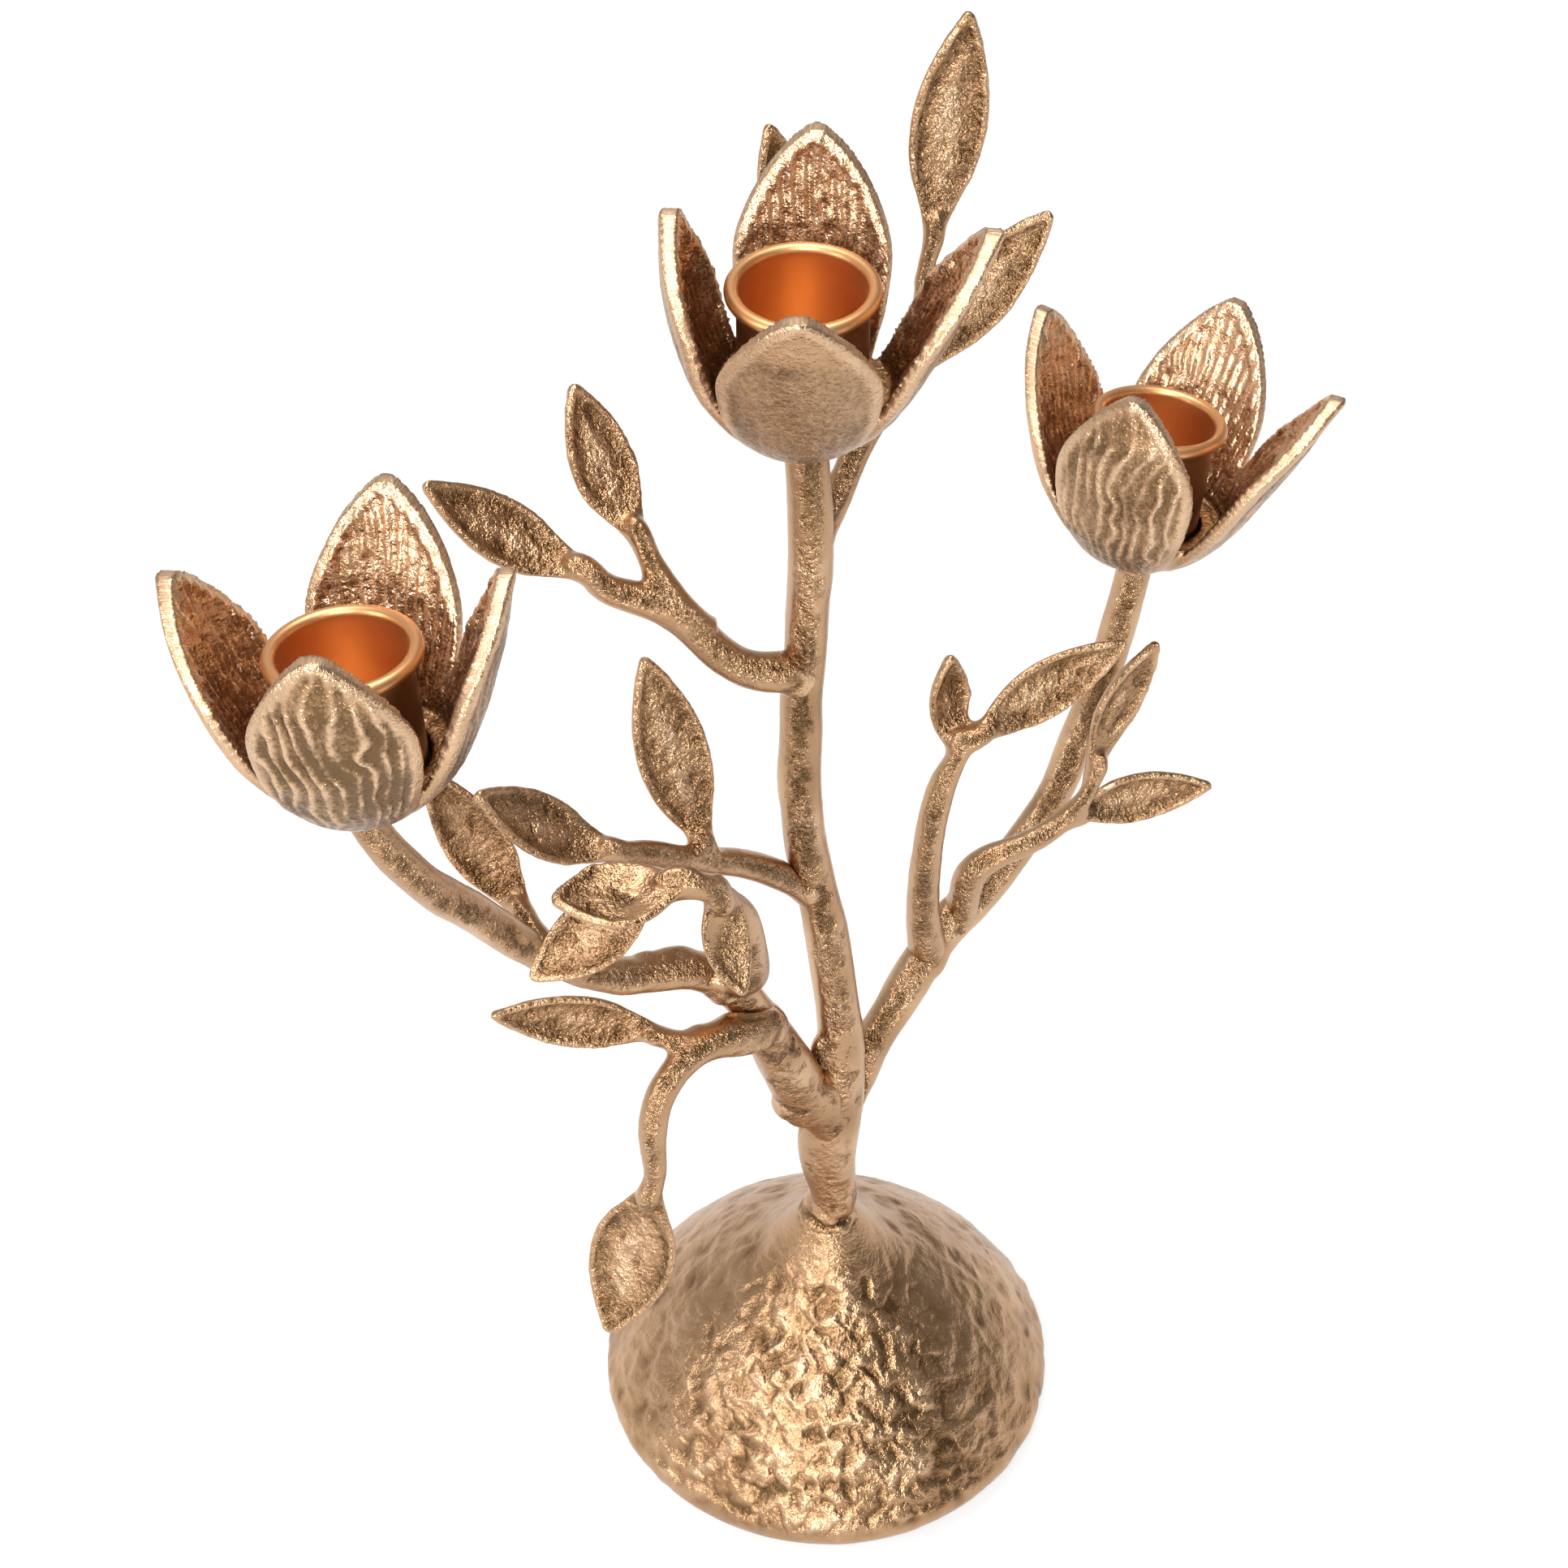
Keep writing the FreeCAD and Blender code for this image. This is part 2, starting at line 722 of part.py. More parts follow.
SPRAYS = {
    "upper_left_spray": {
        "carrier": "stem",
        "at_share": 0.741,
        "radius": "upper_left_twig_radius",
        "route_shares": [
            (0.00, 0.00, 0.00),
            (-0.16, 0.02, 0.05),
            (-0.28, 0.08, 0.12),
            (-0.41, 0.16, 0.31),
            (-0.58, 0.26, 0.47),
            (-0.72, 0.35, 0.61),
        ],
        "girth_shares": [1.20, 1.40, 1.25, 1.15, 1.10, 0.90],
        "branches": [
            ([(-0.36, 0.14, 0.28), (-0.44, 0.18, 0.41), (-0.48, 0.26, 0.52), (-0.50, 0.33, 0.66)],
             [1.00, 0.95, 0.90, 0.80]),
        ],
        "leaves": [
            ((-0.72, 0.35, 0.61), (-0.66, 0.44, 0.61), turned(0.25, 0.35), 0.90, 0.85),
            ((-0.50, 0.33, 0.66), (-0.10, 0.47, 0.88), turned(0.55, 0.0), 0.80, 0.86),
        ],
    },
    "mid_left_spray": {
        "carrier": "stem",
        "at_share": 0.469,
        "radius": "mid_left_twig_radius",
        "route_shares": [
            (0.00, 0.00, 0.00),
            (-0.13, 0.02, 0.12),
            (-0.27, 0.02, 0.26),
            (-0.45, 0.01, 0.40),
            (-0.62, 0.00, 0.53),
            (-0.79, -0.03, 0.67),
        ],
        "girth_shares": [1.25, 1.12, 1.08, 1.02, 0.96, 0.80],
        "branches": [],
        "leaves": [
            ((-0.80, -0.03, 0.67), (-0.70, 0.19, 0.69), turned(0.15, 0.35), 0.91, 0.82),
            ((-0.44, 0.01, 0.43), (-0.05, 0.37, 0.93), turned(0.30, 0.0), 1.08, 0.95),
        ],
    },
    "front_spray": {
        "carrier": "left_bough",
        "at_share": 0.352,
        "radius": "front_twig_radius",
        "route_shares": [
            (0.00, 0.00, 0.00),
            (0.01, -0.14, 0.14),
            (-0.07, -0.25, 0.40),
            (-0.15, -0.30, 0.64),
            (-0.23, -0.32, 0.78),
            (-0.30, -0.33, 0.87),
            (-0.34, -0.31, 0.89),
        ],
        "girth_shares": [1.25, 1.20, 1.08, 1.00, 0.88, 0.75, 0.62],
        "branches": [([(-0.26, -0.32, 0.82), (-0.36, -0.29, 0.84), (-0.44, -0.26, 0.83)], [0.65, 0.60, 0.52])],
        "leaves": [
            ((-0.34, -0.30, 0.90), (-0.92, 0.38, 0.05), (-0.12, -0.03, 1.00), 0.60, 1.02),
            ((-0.23, -0.34, 0.80), (-0.02, -0.38, -0.93), turned(0.40, 0.30), 0.57, 0.66),
            ((-0.43, -0.26, 0.83), (-0.74, 0.33, -0.58), turned(0.35, 0.15), 0.70, 0.85),
        ],
    },
    "hanging_spray": {
        "carrier": "left_bough",
        "at_share": 0.264,
        "radius": "hanging_twig_radius",
        "route_shares": [
            (0.03, -0.05, -0.04),
            (-0.03, -0.08, -0.01),
            (-0.11, -0.09, 0.03),
            (-0.20, -0.10, 0.07),
            (-0.30, -0.11, 0.09),
            (-0.43, -0.13, 0.05),
            (-0.51, -0.15, -0.07),
            (-0.53, -0.17, -0.24),
            (-0.55, -0.18, -0.39),
        ],
        "girth_shares": [1.25, 1.52, 1.52, 1.31, 1.06, 1.00, 0.95, 0.85, 0.75],
        "branches": [
            ([(-0.17, -0.10, 0.05), (-0.25, -0.10, 0.09), (-0.39, -0.03, 0.14)], [0.85, 0.75, 0.62]),
        ],
        "leaves": [
            ((-0.56, -0.18, -0.39), (-0.30, 0.01, -0.95), turned(-0.15, 0.0), 1.02, 1.16),
            ((-0.37, -0.04, 0.13), (-0.84, 0.40, 0.36), turned(0.0, -0.45), 0.93, 0.75),
        ],
    },
    "bough_leaf": {
        "carrier": "left_bough",
        "at_share": 0.637,
        "radius": "bough_leaf_twig_radius",
        "route_shares": [
            (0.00, 0.00, 0.00),
            (0.04, 0.16, 0.28),
            (0.08, 0.34, 0.56),
        ],
        "girth_shares": [1.20, 1.00, 0.85],
        "branches": [],
        "leaves": [
            ((0.03, 0.22, 0.45), (-0.24, 0.52, 0.82), FRONT, 0.90, 0.78),
        ],
    },
    "right_inner_spray": {
        "carrier": "right_bough",
        "at_share": 0.274,
        "radius": "right_inner_twig_radius",
        "route_shares": [
            (0.00, 0.00, 0.00),
            (-0.03, -0.01, 0.15),
            (-0.05, -0.02, 0.31),
            (-0.06, -0.04, 0.53),
            (-0.04, -0.05, 0.77),
            (0.00, -0.06, 0.92),
            (0.04, -0.08, 1.02),
        ],
        "girth_shares": [1.33, 1.21, 1.09, 1.00, 0.94, 0.85, 0.67],
        "branches": [],
        "leaves": [
            ((0.04, -0.08, 1.02), (0.06, 0.22, 0.97), turned(0.55, 0.0), 0.55, 0.66),
            ((0.08, -0.10, 1.06), (0.90, -0.21, 0.38), turned(0.20, -0.45), 0.93, 0.80),
        ],
    },
    "right_outer_spray": {
        "carrier": "right_bough",
        "at_share": 0.341,
        "radius": "right_outer_twig_radius",
        "route_shares": [
            (0.00, 0.00, 0.00),
            (0.00, -0.05, 0.20),
            (0.06, -0.10, 0.39),
            (0.20, -0.16, 0.44),
            (0.33, -0.18, 0.46),
            (0.46, -0.21, 0.55),
            (0.56, -0.21, 0.69),
        ],
        "girth_shares": [1.36, 1.29, 1.14, 0.96, 0.93, 0.89, 0.64],
        "branches": [],
        "leaves": [
            ((0.55, -0.21, 0.69), (0.41, -0.06, 0.91), turned(0.70, -0.15), 0.84, 0.70),
            ((0.45, -0.20, 0.49), (0.92, -0.38, 0.04), turned(0.10, -0.50), 0.80, 0.74),
        ],
    },
    "top_back_spray": {
        "carrier": "stem",
        "at_share": 0.884,
        "radius": "top_back_twig_radius",
        "route_shares": [
            (0.00, 0.00, 0.00),
            (0.22, 0.08, 0.11),
            (0.38, 0.15, 0.23),
            (0.58, 0.22, 0.34),
            (0.82, 0.28, 0.40),
        ],
        "girth_shares": [1.33, 1.11, 1.00, 0.96, 0.81],
        "branches": [
            ([(0.72, 0.26, 0.37), (0.81, 0.28, 0.50), (0.91, 0.34, 0.77), (0.99, 0.38, 1.03)],
             [0.85, 0.83, 0.78, 0.68]),
            ([(0.38, 0.15, 0.23), (0.46, 0.40, 0.51), (0.49, 0.60, 0.80)], [0.90, 0.80, 0.68]),
        ],
        "leaves": [
            ((0.82, 0.28, 0.39), (0.70, -0.13, 0.70), turned(0.30, -0.35), 1.00, 0.88),
            ((1.00, 0.38, 1.02), (0.23, 0.09, 0.97), turned(0.25, 0.0), 1.09, 0.92),
            ((0.50, 0.60, 0.80), (-0.07, 0.32, 0.94), turned(0.40, 0.0), 0.86, 0.75),
        ],
    },
}

# The whole

stem_foot = Vector(0, 0, dome_top.value)
stem_end = (STEM_ROUTE_SHARES, STEM_GIRTH_SHARES, (0, 0, 1))
stem_hollow, stem_casting, stem_places, top_frame = bough(
    "stem_upright", None, stem_foot, size("stem_height"), size("stem_radius"), *stem_end
)
bolt_depth = size("base_screw_grip") + size("screw_end_gap")
upside_down = Placement(stem_foot, Rotation(Vector(1, 0, 0), 180))
trunk_stem = cut("trunk_stem", stem_hollow, drill("stem_bolt_hole", bolt_hole, bolt_depth, upside_down))

left_bough, left_casting, left_places, left_frame = bough(
    "left_bough", stem_casting, along(stem_places, LEFT_BOUGH_ROOT_SHARE), size("left_bough_span"),
    size("left_bough_radius"), LEFT_BOUGH_ROUTE_SHARES, LEFT_BOUGH_GIRTH_SHARES, LEFT_FLOWER_AXIS
)
right_bough, right_casting, right_places, right_frame = bough(
    "right_bough", stem_casting, along(stem_places, RIGHT_BOUGH_ROOT_SHARE), size("right_bough_span"),
    size("right_bough_radius"), RIGHT_BOUGH_ROUTE_SHARES, RIGHT_BOUGH_GIRTH_SHARES, RIGHT_FLOWER_AXIS
)

subparts = [make_felt_pad(), make_base_dome(), make_base_washer(), make_base_screw()]
subparts += [trunk_stem, left_bough, right_bough]

carriers = {
    "stem": (stem_casting, stem_places),
    "left_bough": (left_casting, left_places),
    "right_bough": (right_casting, right_places),
}
for name, made in SPRAYS.items():
    carrier, places = carriers[made["carrier"]]
    girth = (size(made["radius"]), made["route_shares"], made["girth_shares"])
    root = along(places, made["at_share"])
    subparts.append(spray(name, carrier, root, size(name + "_span"), *girth, made["branches"], made["leaves"]))

frames = {"top": top_frame, "left": left_frame, "right": right_frame}
subparts += [make_flower(side + "_flower", frame, PETALS[side]) for side, frame in frames.items()]
subparts += [make_cup(side + "_cup", frame) for side, frame in frames.items()]
subparts.append(alike("cup_washers", make_cup_washer, frames.values()))
subparts.append(alike("cup_screws", make_cup_screw, frames.values()))

doc.recompute()

for item in doc.Objects:
    faults = {"Invalid", "Error"} & set(item.State)
    if faults:
        raise ValueError(f"{item.Name} is in state {faults}")

os.makedirs("parts", exist_ok=True)
for subpart in subparts:
    shape = subpart.Shape
    if shape.isNull() or not shape.isValid() or not shape.Solids:
        raise ValueError(f"{subpart.Label} has no sound solid")
    shape.exportStep(f"parts/{subpart.Label}.step")
    print(f"{subpart.Label}: {len(shape.Solids)} solids, {shape.Volume:.0f} mm3")
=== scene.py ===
"""Looks of the candelabra: cast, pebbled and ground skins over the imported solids, spun cups, felt and steel.

The scene is in metres. Skins, cups and felt are worked out in millimetres."""

import math

import bmesh
import bpy
import numpy as np
from mathutils import Matrix, Vector
from mathutils.kdtree import KDTree


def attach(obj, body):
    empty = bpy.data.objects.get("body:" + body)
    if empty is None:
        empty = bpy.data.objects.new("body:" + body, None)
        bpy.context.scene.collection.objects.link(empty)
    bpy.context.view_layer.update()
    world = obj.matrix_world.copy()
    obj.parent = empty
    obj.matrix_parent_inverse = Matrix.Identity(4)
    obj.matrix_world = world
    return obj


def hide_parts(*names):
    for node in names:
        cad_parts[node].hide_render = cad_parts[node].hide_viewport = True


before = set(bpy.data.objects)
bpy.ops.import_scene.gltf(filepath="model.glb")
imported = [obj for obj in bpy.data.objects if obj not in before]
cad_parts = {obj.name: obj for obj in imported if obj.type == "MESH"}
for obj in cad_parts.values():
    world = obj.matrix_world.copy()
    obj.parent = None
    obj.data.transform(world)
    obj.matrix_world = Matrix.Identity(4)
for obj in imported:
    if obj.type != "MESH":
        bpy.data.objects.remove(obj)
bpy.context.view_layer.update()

MM = 0.001
UPRIGHT = Vector((0, 0, 1))

# The way from the object to the camera. Limbs are rough in front and behind, and ground at their sides.
FRONT = np.array([-0.44, -0.58, 0.69])
FRONT = FRONT / np.linalg.norm(FRONT)

# Seat of each flower, in millimetres, with its axis and the angles of its four petals
FLOWERS = {
    "top": ((-5.3, 4.0, 281.0), (0.0, 0.0, 1.0), (48, 139, -45, -129)),
    "left": ((-101.6, 1.4, 247.5), (0.018, 0.130, 0.991), (42, 135, -38, -128)),
    "right": ((80.3, 3.7, 211.1), (0.175, 0.049, 0.984), (22, 111, -57, -152)),
}


# Noise, in numpy, the same on every run

# Large odd numbers that mix a lattice point's place and seed, and the bits that are kept
HASH_X, HASH_Y, HASH_Z = 73856093, 19349663, 83492791
HASH_SEED = 2654435761
HASH_MIX = 1274126177
HASH_MASK = 0xFFFFFF

# Farther away than anything that is looked for
FAR = 99.0

# How far a pebble reaches from its middle, as a square in cells, and how fast a fold falls from its crest
PEBBLE_REACH = 0.62
FOLD_STEEPNESS = 2.2

# Size in millimetres, share and shift of the seed of each kind of cast grain
GRAINS = ((2.6, 0.4, 0), (1.3, 0.5, 7), (0.8, 0.35, 9))


def lattice(ix, iy, iz, seed):
    """A repeatable number from 0 to 1 for each lattice point."""
    h = (ix * HASH_X) ^ (iy * HASH_Y) ^ (iz * HASH_Z) ^ (seed * HASH_SEED)
    h = (h ^ (h >> 13)) * HASH_MIX
    h = h ^ (h >> 16)
    return (h & HASH_MASK) / float(HASH_MASK)


def noise(p, size, seed=0):
    """Smooth value noise from -1 to 1 with features of that size."""
    q = p / size
    cell = np.floor(q).astype(np.int64)
    f = q - cell
    f = f * f * f * (f * (f * 6 - 15) + 10)
    total = np.zeros(len(p))
    for dx in (0, 1):
        wx = f[:, 0] if dx else 1 - f[:, 0]
        for dy in (0, 1):
            wy = f[:, 1] if dy else 1 - f[:, 1]
            for dz in (0, 1):
                wz = f[:, 2] if dz else 1 - f[:, 2]
                corner = lattice(cell[:, 0] + dx, cell[:, 1] + dy, cell[:, 2] + dz, seed)
                total += wx * wy * wz * corner
    return total * 2 - 1


def pebbles(p, size, seed=0):
    """Rounded lumps, one to a cell, from 0 between them to 1 on top."""
    q = p / size
    cell = np.floor(q).astype(np.int64)
    near = np.full(len(p), FAR)
    for dx in (-1, 0, 1):
        for dy in (-1, 0, 1):
            for dz in (-1, 0, 1):
                c = cell + np.array([dx, dy, dz])
                spot = np.stack([lattice(*c.T, seed + k) for k in (1, 2, 3)], axis=1)
                near = np.minimum(near, ((c + spot - q) ** 2).sum(axis=1))
    return np.clip(1 - near / PEBBLE_REACH, 0, 1)


def folds(p, size, seed):
    """Folds with a sharp crest, 1 on top."""
    return 1 - np.abs(noise(p, size, seed)) * FOLD_STEEPNESS


def grains(p, amount, seed):
    """Cast grain: a little of three sizes."""
    return amount * sum(noise(p, size, seed + shift) * share for size, share, shift in GRAINS)


def fade(x, low, high):
    """From 0 below low to 1 above high, with soft ends."""
    t = np.clip((x - low) / (high - low), 0, 1)
    return t * t * (3 - 2 * t)


def bell(x, width):
    """1 where x is 0, falling away on both sides."""
    return np.exp(-((x / width) ** 2))


def ridges(phase, narrow):
    """Thin ridges, one to each whole number of the phase, from 0 to 1 on top."""
    return bell(np.abs(phase - np.round(phase)), narrow)


def toward(n):
    """How nearly each normal points to the front, from -1 to 1."""
    return (n * FRONT).sum(axis=1)


# Skins: the solid's mesh, remeshed finely, softened at its joints and given its cast surface

# The grid that a skin is remeshed on
VOXEL = 0.5
DOME_VOXEL = 0.55

# Sharp edges: the cosine between faces below which an edge is one, the distance between points along it, and
# how near points are, in metres, that count as one
SHARP_COSINE = 0.80
CREASE_STEP = 0.5
SAME_PLACE = 2e-6

# Softening: weight and rounds of the first, all over, and the most weight of every other. On sprays: where it
# begins by the distance from a sharp edge, and where a twig meets a leaf by how flat the metal is, with rounds.
EVEN_WEIGHT, EVEN_ROUNDS = 0.35, 2
MOST_WEIGHT = 0.5
INNER, INNER_ROUNDS = (1.6, 3.6), 12
MEETING, PAST_MEETING, MEETING_ROUNDS = (0.20, 0.36), (0.60, 0.76), 24

# How a limb's run is found: points looked through, points it is worked out at, reach, and neighbours
RUN_CLOUD = 5000
RUN_HEART = 1200
RUN_REACH = 7.0
RUN_NEIGHBOURS = 4

# The relief attribute: its middle, and what a millimetre of height adds to it
RELIEF_MIDDLE = 0.55
RELIEF_PER_MM = 0.8

# How much of the thickness direction is taken out of the brushed look, so that its strokes run that way
BRUSH_ALONG = 0.95


def creases(obj):
    """Points along the sharp edges of a CAD mesh, as a tree."""
    work = bmesh.new()
    work.from_mesh(obj.data)
    bmesh.ops.remove_doubles(work, verts=work.verts, dist=SAME_PLACE)
    bmesh.ops.triangulate(work, faces=work.faces)
    sharp = []
    for edge in work.edges:
        sides = edge.link_faces
        if len(sides) == 2 and sides[0].normal.dot(sides[1].normal) < SHARP_COSINE:
            one, two = (v.co for v in edge.verts)
            steps = int(edge.calc_length() / (CREASE_STEP * MM)) + 1
            sharp += [one.lerp(two, (k + 0.5) / steps) for k in range(steps)]
    work.free()
    lines = KDTree(len(sharp))
    for i, spot in enumerate(sharp):
        lines.insert(spot, i)
    lines.balance()
    return lines if sharp else None


def ball(work, centre, radii, turn=None):
    """A lump of weld or casting, as a stretched ball in millimetres."""
    shape = Matrix.Diagonal((*(radius * MM for radius in radii), 1))
    if turn is not None:
        shape = Vector(turn).to_track_quat("Z", "Y").to_matrix().to_4x4() @ shape
    shape = Matrix.Translation(Vector(centre) * MM) @ shape
    bmesh.ops.create_icosphere(work, subdivisions=3, radius=1.0, matrix=shape)


def remeshed(name, source, voxel, lumps):
    """A new object: the source's mesh and the lumps, melted into one even mesh."""
    work = bmesh.new()
    work.from_mesh(source.data)
    for lump in lumps:
        ball(work, *lump)
    rough = bpy.data.meshes.new(name + "_rough")
    work.to_mesh(rough)
    work.free()
    obj = bpy.data.objects.new(name, rough)
    bpy.context.scene.collection.objects.link(obj)
    grid = obj.modifiers.new("grid", "REMESH")
    grid.mode = "VOXEL"
    grid.voxel_size = voxel * MM
    graph = bpy.context.evaluated_depsgraph_get()
    fine = bpy.data.meshes.new_from_object(obj.evaluated_get(graph))
    obj.modifiers.clear()
    obj.data = fine
    bpy.data.meshes.remove(rough)
    return obj


def places_of(mesh):
    """Its points, in millimetres."""
    co = np.empty(len(mesh.vertices) * 3)
    mesh.vertices.foreach_get("co", co)
    return co.reshape(-1, 3) / MM


def put_places(mesh, p):
    """Moves its points there."""
    mesh.vertices.foreach_set("co", (p * MM).ravel())
    mesh.update()


def normals_of(mesh):
    """The way that each point faces."""
    n = np.empty(len(mesh.vertices) * 3)
    mesh.vertex_normals.foreach_get("vector", n)
    return n.reshape(-1, 3)


def soften(mesh, p, weight, rounds):
    """Moves each point towards the middle of its neighbours, by its own weight."""
    edges = np.empty(len(mesh.edges) * 2, np.int64)
    mesh.edges.foreach_get("vertices", edges)
    a, b = edges.reshape(-1, 2).T
    size = len(p)
    count = np.bincount(a, minlength=size) + np.bincount(b, minlength=size)
    for _ in range(rounds):
        total = np.stack(
            [np.bincount(a, p[b, k], size) + np.bincount(b, p[a, k], size) for k in range(3)], axis=1
        )
        p = p + (total / count[:, None] - p) * weight[:, None]
    return p


def keep(mesh, name, values):
    """Stores a number or a vector for each point, for the material to read."""
    kind = "FLOAT_VECTOR" if values.ndim == 2 else "FLOAT"
    layer = mesh.attributes.new(name, kind, "POINT")
    layer.data.foreach_set("vector" if values.ndim == 2 else "value", values.ravel())


def runs_of(p):
    """The way that a limb runs at each point, and how flat the metal is there: low on a twig, high on a leaf."""
    cloud = p[:: max(1, len(p) // RUN_CLOUD)]
    heart = p[:: max(1, len(p) // RUN_HEART)]
    tree = KDTree(len(cloud))
    for i, spot in enumerate(cloud):
        tree.insert(spot, i)
    tree.balance()
    ways = np.zeros((len(heart), 3))
    flat = np.zeros(len(heart))
    known = KDTree(len(heart))
    for i, spot in enumerate(heart):
        around = cloud[[found[1] for found in tree.find_range(spot, RUN_REACH)]]
        _, size, axes = np.linalg.svd(around - around.mean(axis=0), full_matrices=False)
        ways[i] = axes[0]
        flat[i] = 1 - size[2] / max(size[1], 1e-6)
        known.insert(spot, i)
    known.balance()
    near = np.array([[found[1] for found in known.find_n(spot, RUN_NEIGHBOURS)] for spot in p])
    return ways[near[:, 0]], flat[near].mean(axis=1)


def soften_leaves(mesh, p, inset):
    """Softens a spray away from its sharp edges, and more where its twigs meet its leaves."""
    _, flat = runs_of(p)
    meeting = fade(flat, *MEETING) * (1 - fade(flat, *PAST_MEETING))
    p = soften(mesh, p, fade(inset, *INNER) * MOST_WEIGHT, INNER_ROUNDS)
    return soften(mesh, p, meeting * MOST_WEIGHT, MEETING_ROUNDS)


def coat(mesh, material):
    """Shades a mesh smoothly, in that material alone."""
    mesh.polygons.foreach_set("use_smooth", np.ones(len(mesh.polygons), bool))
    mesh.materials.clear()
    mesh.materials.append(material)


def skin(node, surface, voxel=VOXEL, lumps=(), joints=(), leaves=False):
    """A skin over a node. lumps are balls of metal that join it, and joints are softened places: centre, reach,
    rounds. surface(p, n, inset) gives the height in mm, the patina with painted shade, the roughness as cast, how
    far the metal is ground, and its thickness direction. inset is how far a point lies from the nearest sharp
    edge."""
    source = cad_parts[node]
    lines = creases(source)
    obj = remeshed(node + "_skin", source, voxel, lumps)
    mesh = obj.data
    inset = np.full(len(mesh.vertices), FAR)
    if lines:
        inset = np.array([lines.find(v.co)[2] for v in mesh.vertices]) / MM
    p = places_of(mesh)
    p = soften(mesh, p, np.full(len(p), EVEN_WEIGHT), EVEN_ROUNDS)
    if leaves:
        p = soften_leaves(mesh, p, inset)
    for centre, reach, rounds in joints:
        near = 1 - fade(np.linalg.norm(p - np.array(centre), axis=1), reach * 0.5, reach)
        p = soften(mesh, p, near * MOST_WEIGHT, rounds)
    put_places(mesh, p)
    n = normals_of(mesh)
    height, patina_and_shade, cast, rim, thick = surface(p, n, inset)
    put_places(mesh, p + n * height[:, None])
    relief = RELIEF_MIDDLE + height * RELIEF_PER_MM
    for name, values in (("relief", relief), ("rim", rim), ("patina_and_shade", patina_and_shade), ("cast", cast)):
        keep(mesh, name, np.clip(values, 0, 1))
    keep(mesh, "brush", p - thick * (p * thick).sum(axis=1)[:, None] * BRUSH_ALONG)
    coat(mesh, cast_metal)
    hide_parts(node)
    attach(obj, "root")


# Materials

# Sockets of a mix node that mixes colours
MIX_FACTOR, MIX_ONE, MIX_TWO, MIX_RESULT = 0, 6, 7, 2

WHITE = (1.0, 1.0, 1.0)

# Castings: colours from pits to high spots, the tint of blotches, the colour of patina and painted shade and the
# most of it, brushed edges
BODY = [
    (0.05, (0.22, 0.125, 0.06)),
    (0.35, (0.43, 0.26, 0.14)),
    (0.60, (0.53, 0.335, 0.195)),
    (0.95, (0.74, 0.51, 0.33)),
]
BLOTCH_TINT = (0.92, 0.87, 0.81)
PATINA_AND_SHADE = (0.150, 0.086, 0.038)
PATINA_AND_SHADE_MOST = 0.92
EDGE = [(0.35, (0.46, 0.295, 0.17)), (0.65, (0.74, 0.52, 0.35))]

# Cups: turned metal, the bead's rubbed rim, and the outside, painted dark as the shade of the petals round it
CUP_TONE = [(0.25, (0.88, 0.475, 0.20)), (0.75, (0.92, 0.52, 0.23))]
CUP_BEAD = (0.78, 0.40, 0.175)
CUP_SHADED_OUTSIDE = (0.30, 0.155, 0.075)

# Screws and washers, and the felt
STEEL_TONE = [(0.3, (0.42, 0.42, 0.41)), (0.7, (0.60, 0.60, 0.58))]
FELT_TONE = [(0.3, (0.010, 0.010, 0.011)), (0.7, (0.034, 0.033, 0.034))]


def nodes_of(name, metallic=1.0):
    """A new material, its node tree and its shader."""
    material = bpy.data.materials.new(name)
    material.use_nodes = True
    tree = material.node_tree
    shader = tree.nodes["Principled BSDF"]
    shader.inputs["Metallic"].default_value = metallic
    return material, tree, shader


def add(tree, kind, **settings):
    """A node, with values for its inputs or its own settings."""
    node = tree.nodes.new(kind)
    for key, value in settings.items():
        if key in node.inputs:
            node.inputs[key].default_value = value
        else:
            setattr(node, key, value)
    return node


def feed(tree, socket, value):
    """Gives an input a number, a colour or another node's output."""
    if isinstance(value, float):
        socket.default_value = value
    elif isinstance(value, tuple):
        socket.default_value = (*value, 1)
    else:
        tree.links.new(value, socket)


def attribute(tree, name, kind="Fac"):
    """What keep stored under that name."""
    return add(tree, "ShaderNodeAttribute", attribute_name=name).outputs[kind]


def coordinates(tree, kind="Object"):
    """Where a texture is looked up."""
    return add(tree, "ShaderNodeTexCoord").outputs[kind]


def texture(tree, where, **settings):
    """Noise at a place, from 0 to 1."""
    node = add(tree, "ShaderNodeTexNoise", **settings)
    tree.links.new(where, node.inputs["Vector"])
    return node.outputs["Fac"]


def ramp(tree, factor, stops):
    """A colour by a number, through stops of (number, colour)."""
    node = tree.nodes.new("ShaderNodeValToRGB")
    bar = node.color_ramp.elements
    while len(bar) < len(stops):
        bar.new(0.5)
    for element, (place, colour) in zip(bar, stops):
        element.position = place
        element.color = (*colour, 1)
    tree.links.new(factor, node.inputs["Fac"])
    return node.outputs["Color"]


def mix(tree, factor, one, two, kind="MIX"):
    """Two colours, mixed by a factor."""
    node = add(tree, "ShaderNodeMix", data_type="RGBA", blend_type=kind)
    for place, value in ((MIX_FACTOR, factor), (MIX_ONE, one), (MIX_TWO, two)):
        feed(tree, node.inputs[place], value)
    return node.outputs[MIX_RESULT]


def calc(tree, kind, one, two):
    """One step of arithmetic."""
    node = add(tree, "ShaderNodeMath", operation=kind)
    for socket, value in zip(node.inputs, (one, two)):
        feed(tree, socket, value)
    return node.outputs[0]


def scaled(tree, value, share, start):
    """The value times a share, plus a start."""
    return calc(tree, "ADD", calc(tree, "MULTIPLY", value, share), start)


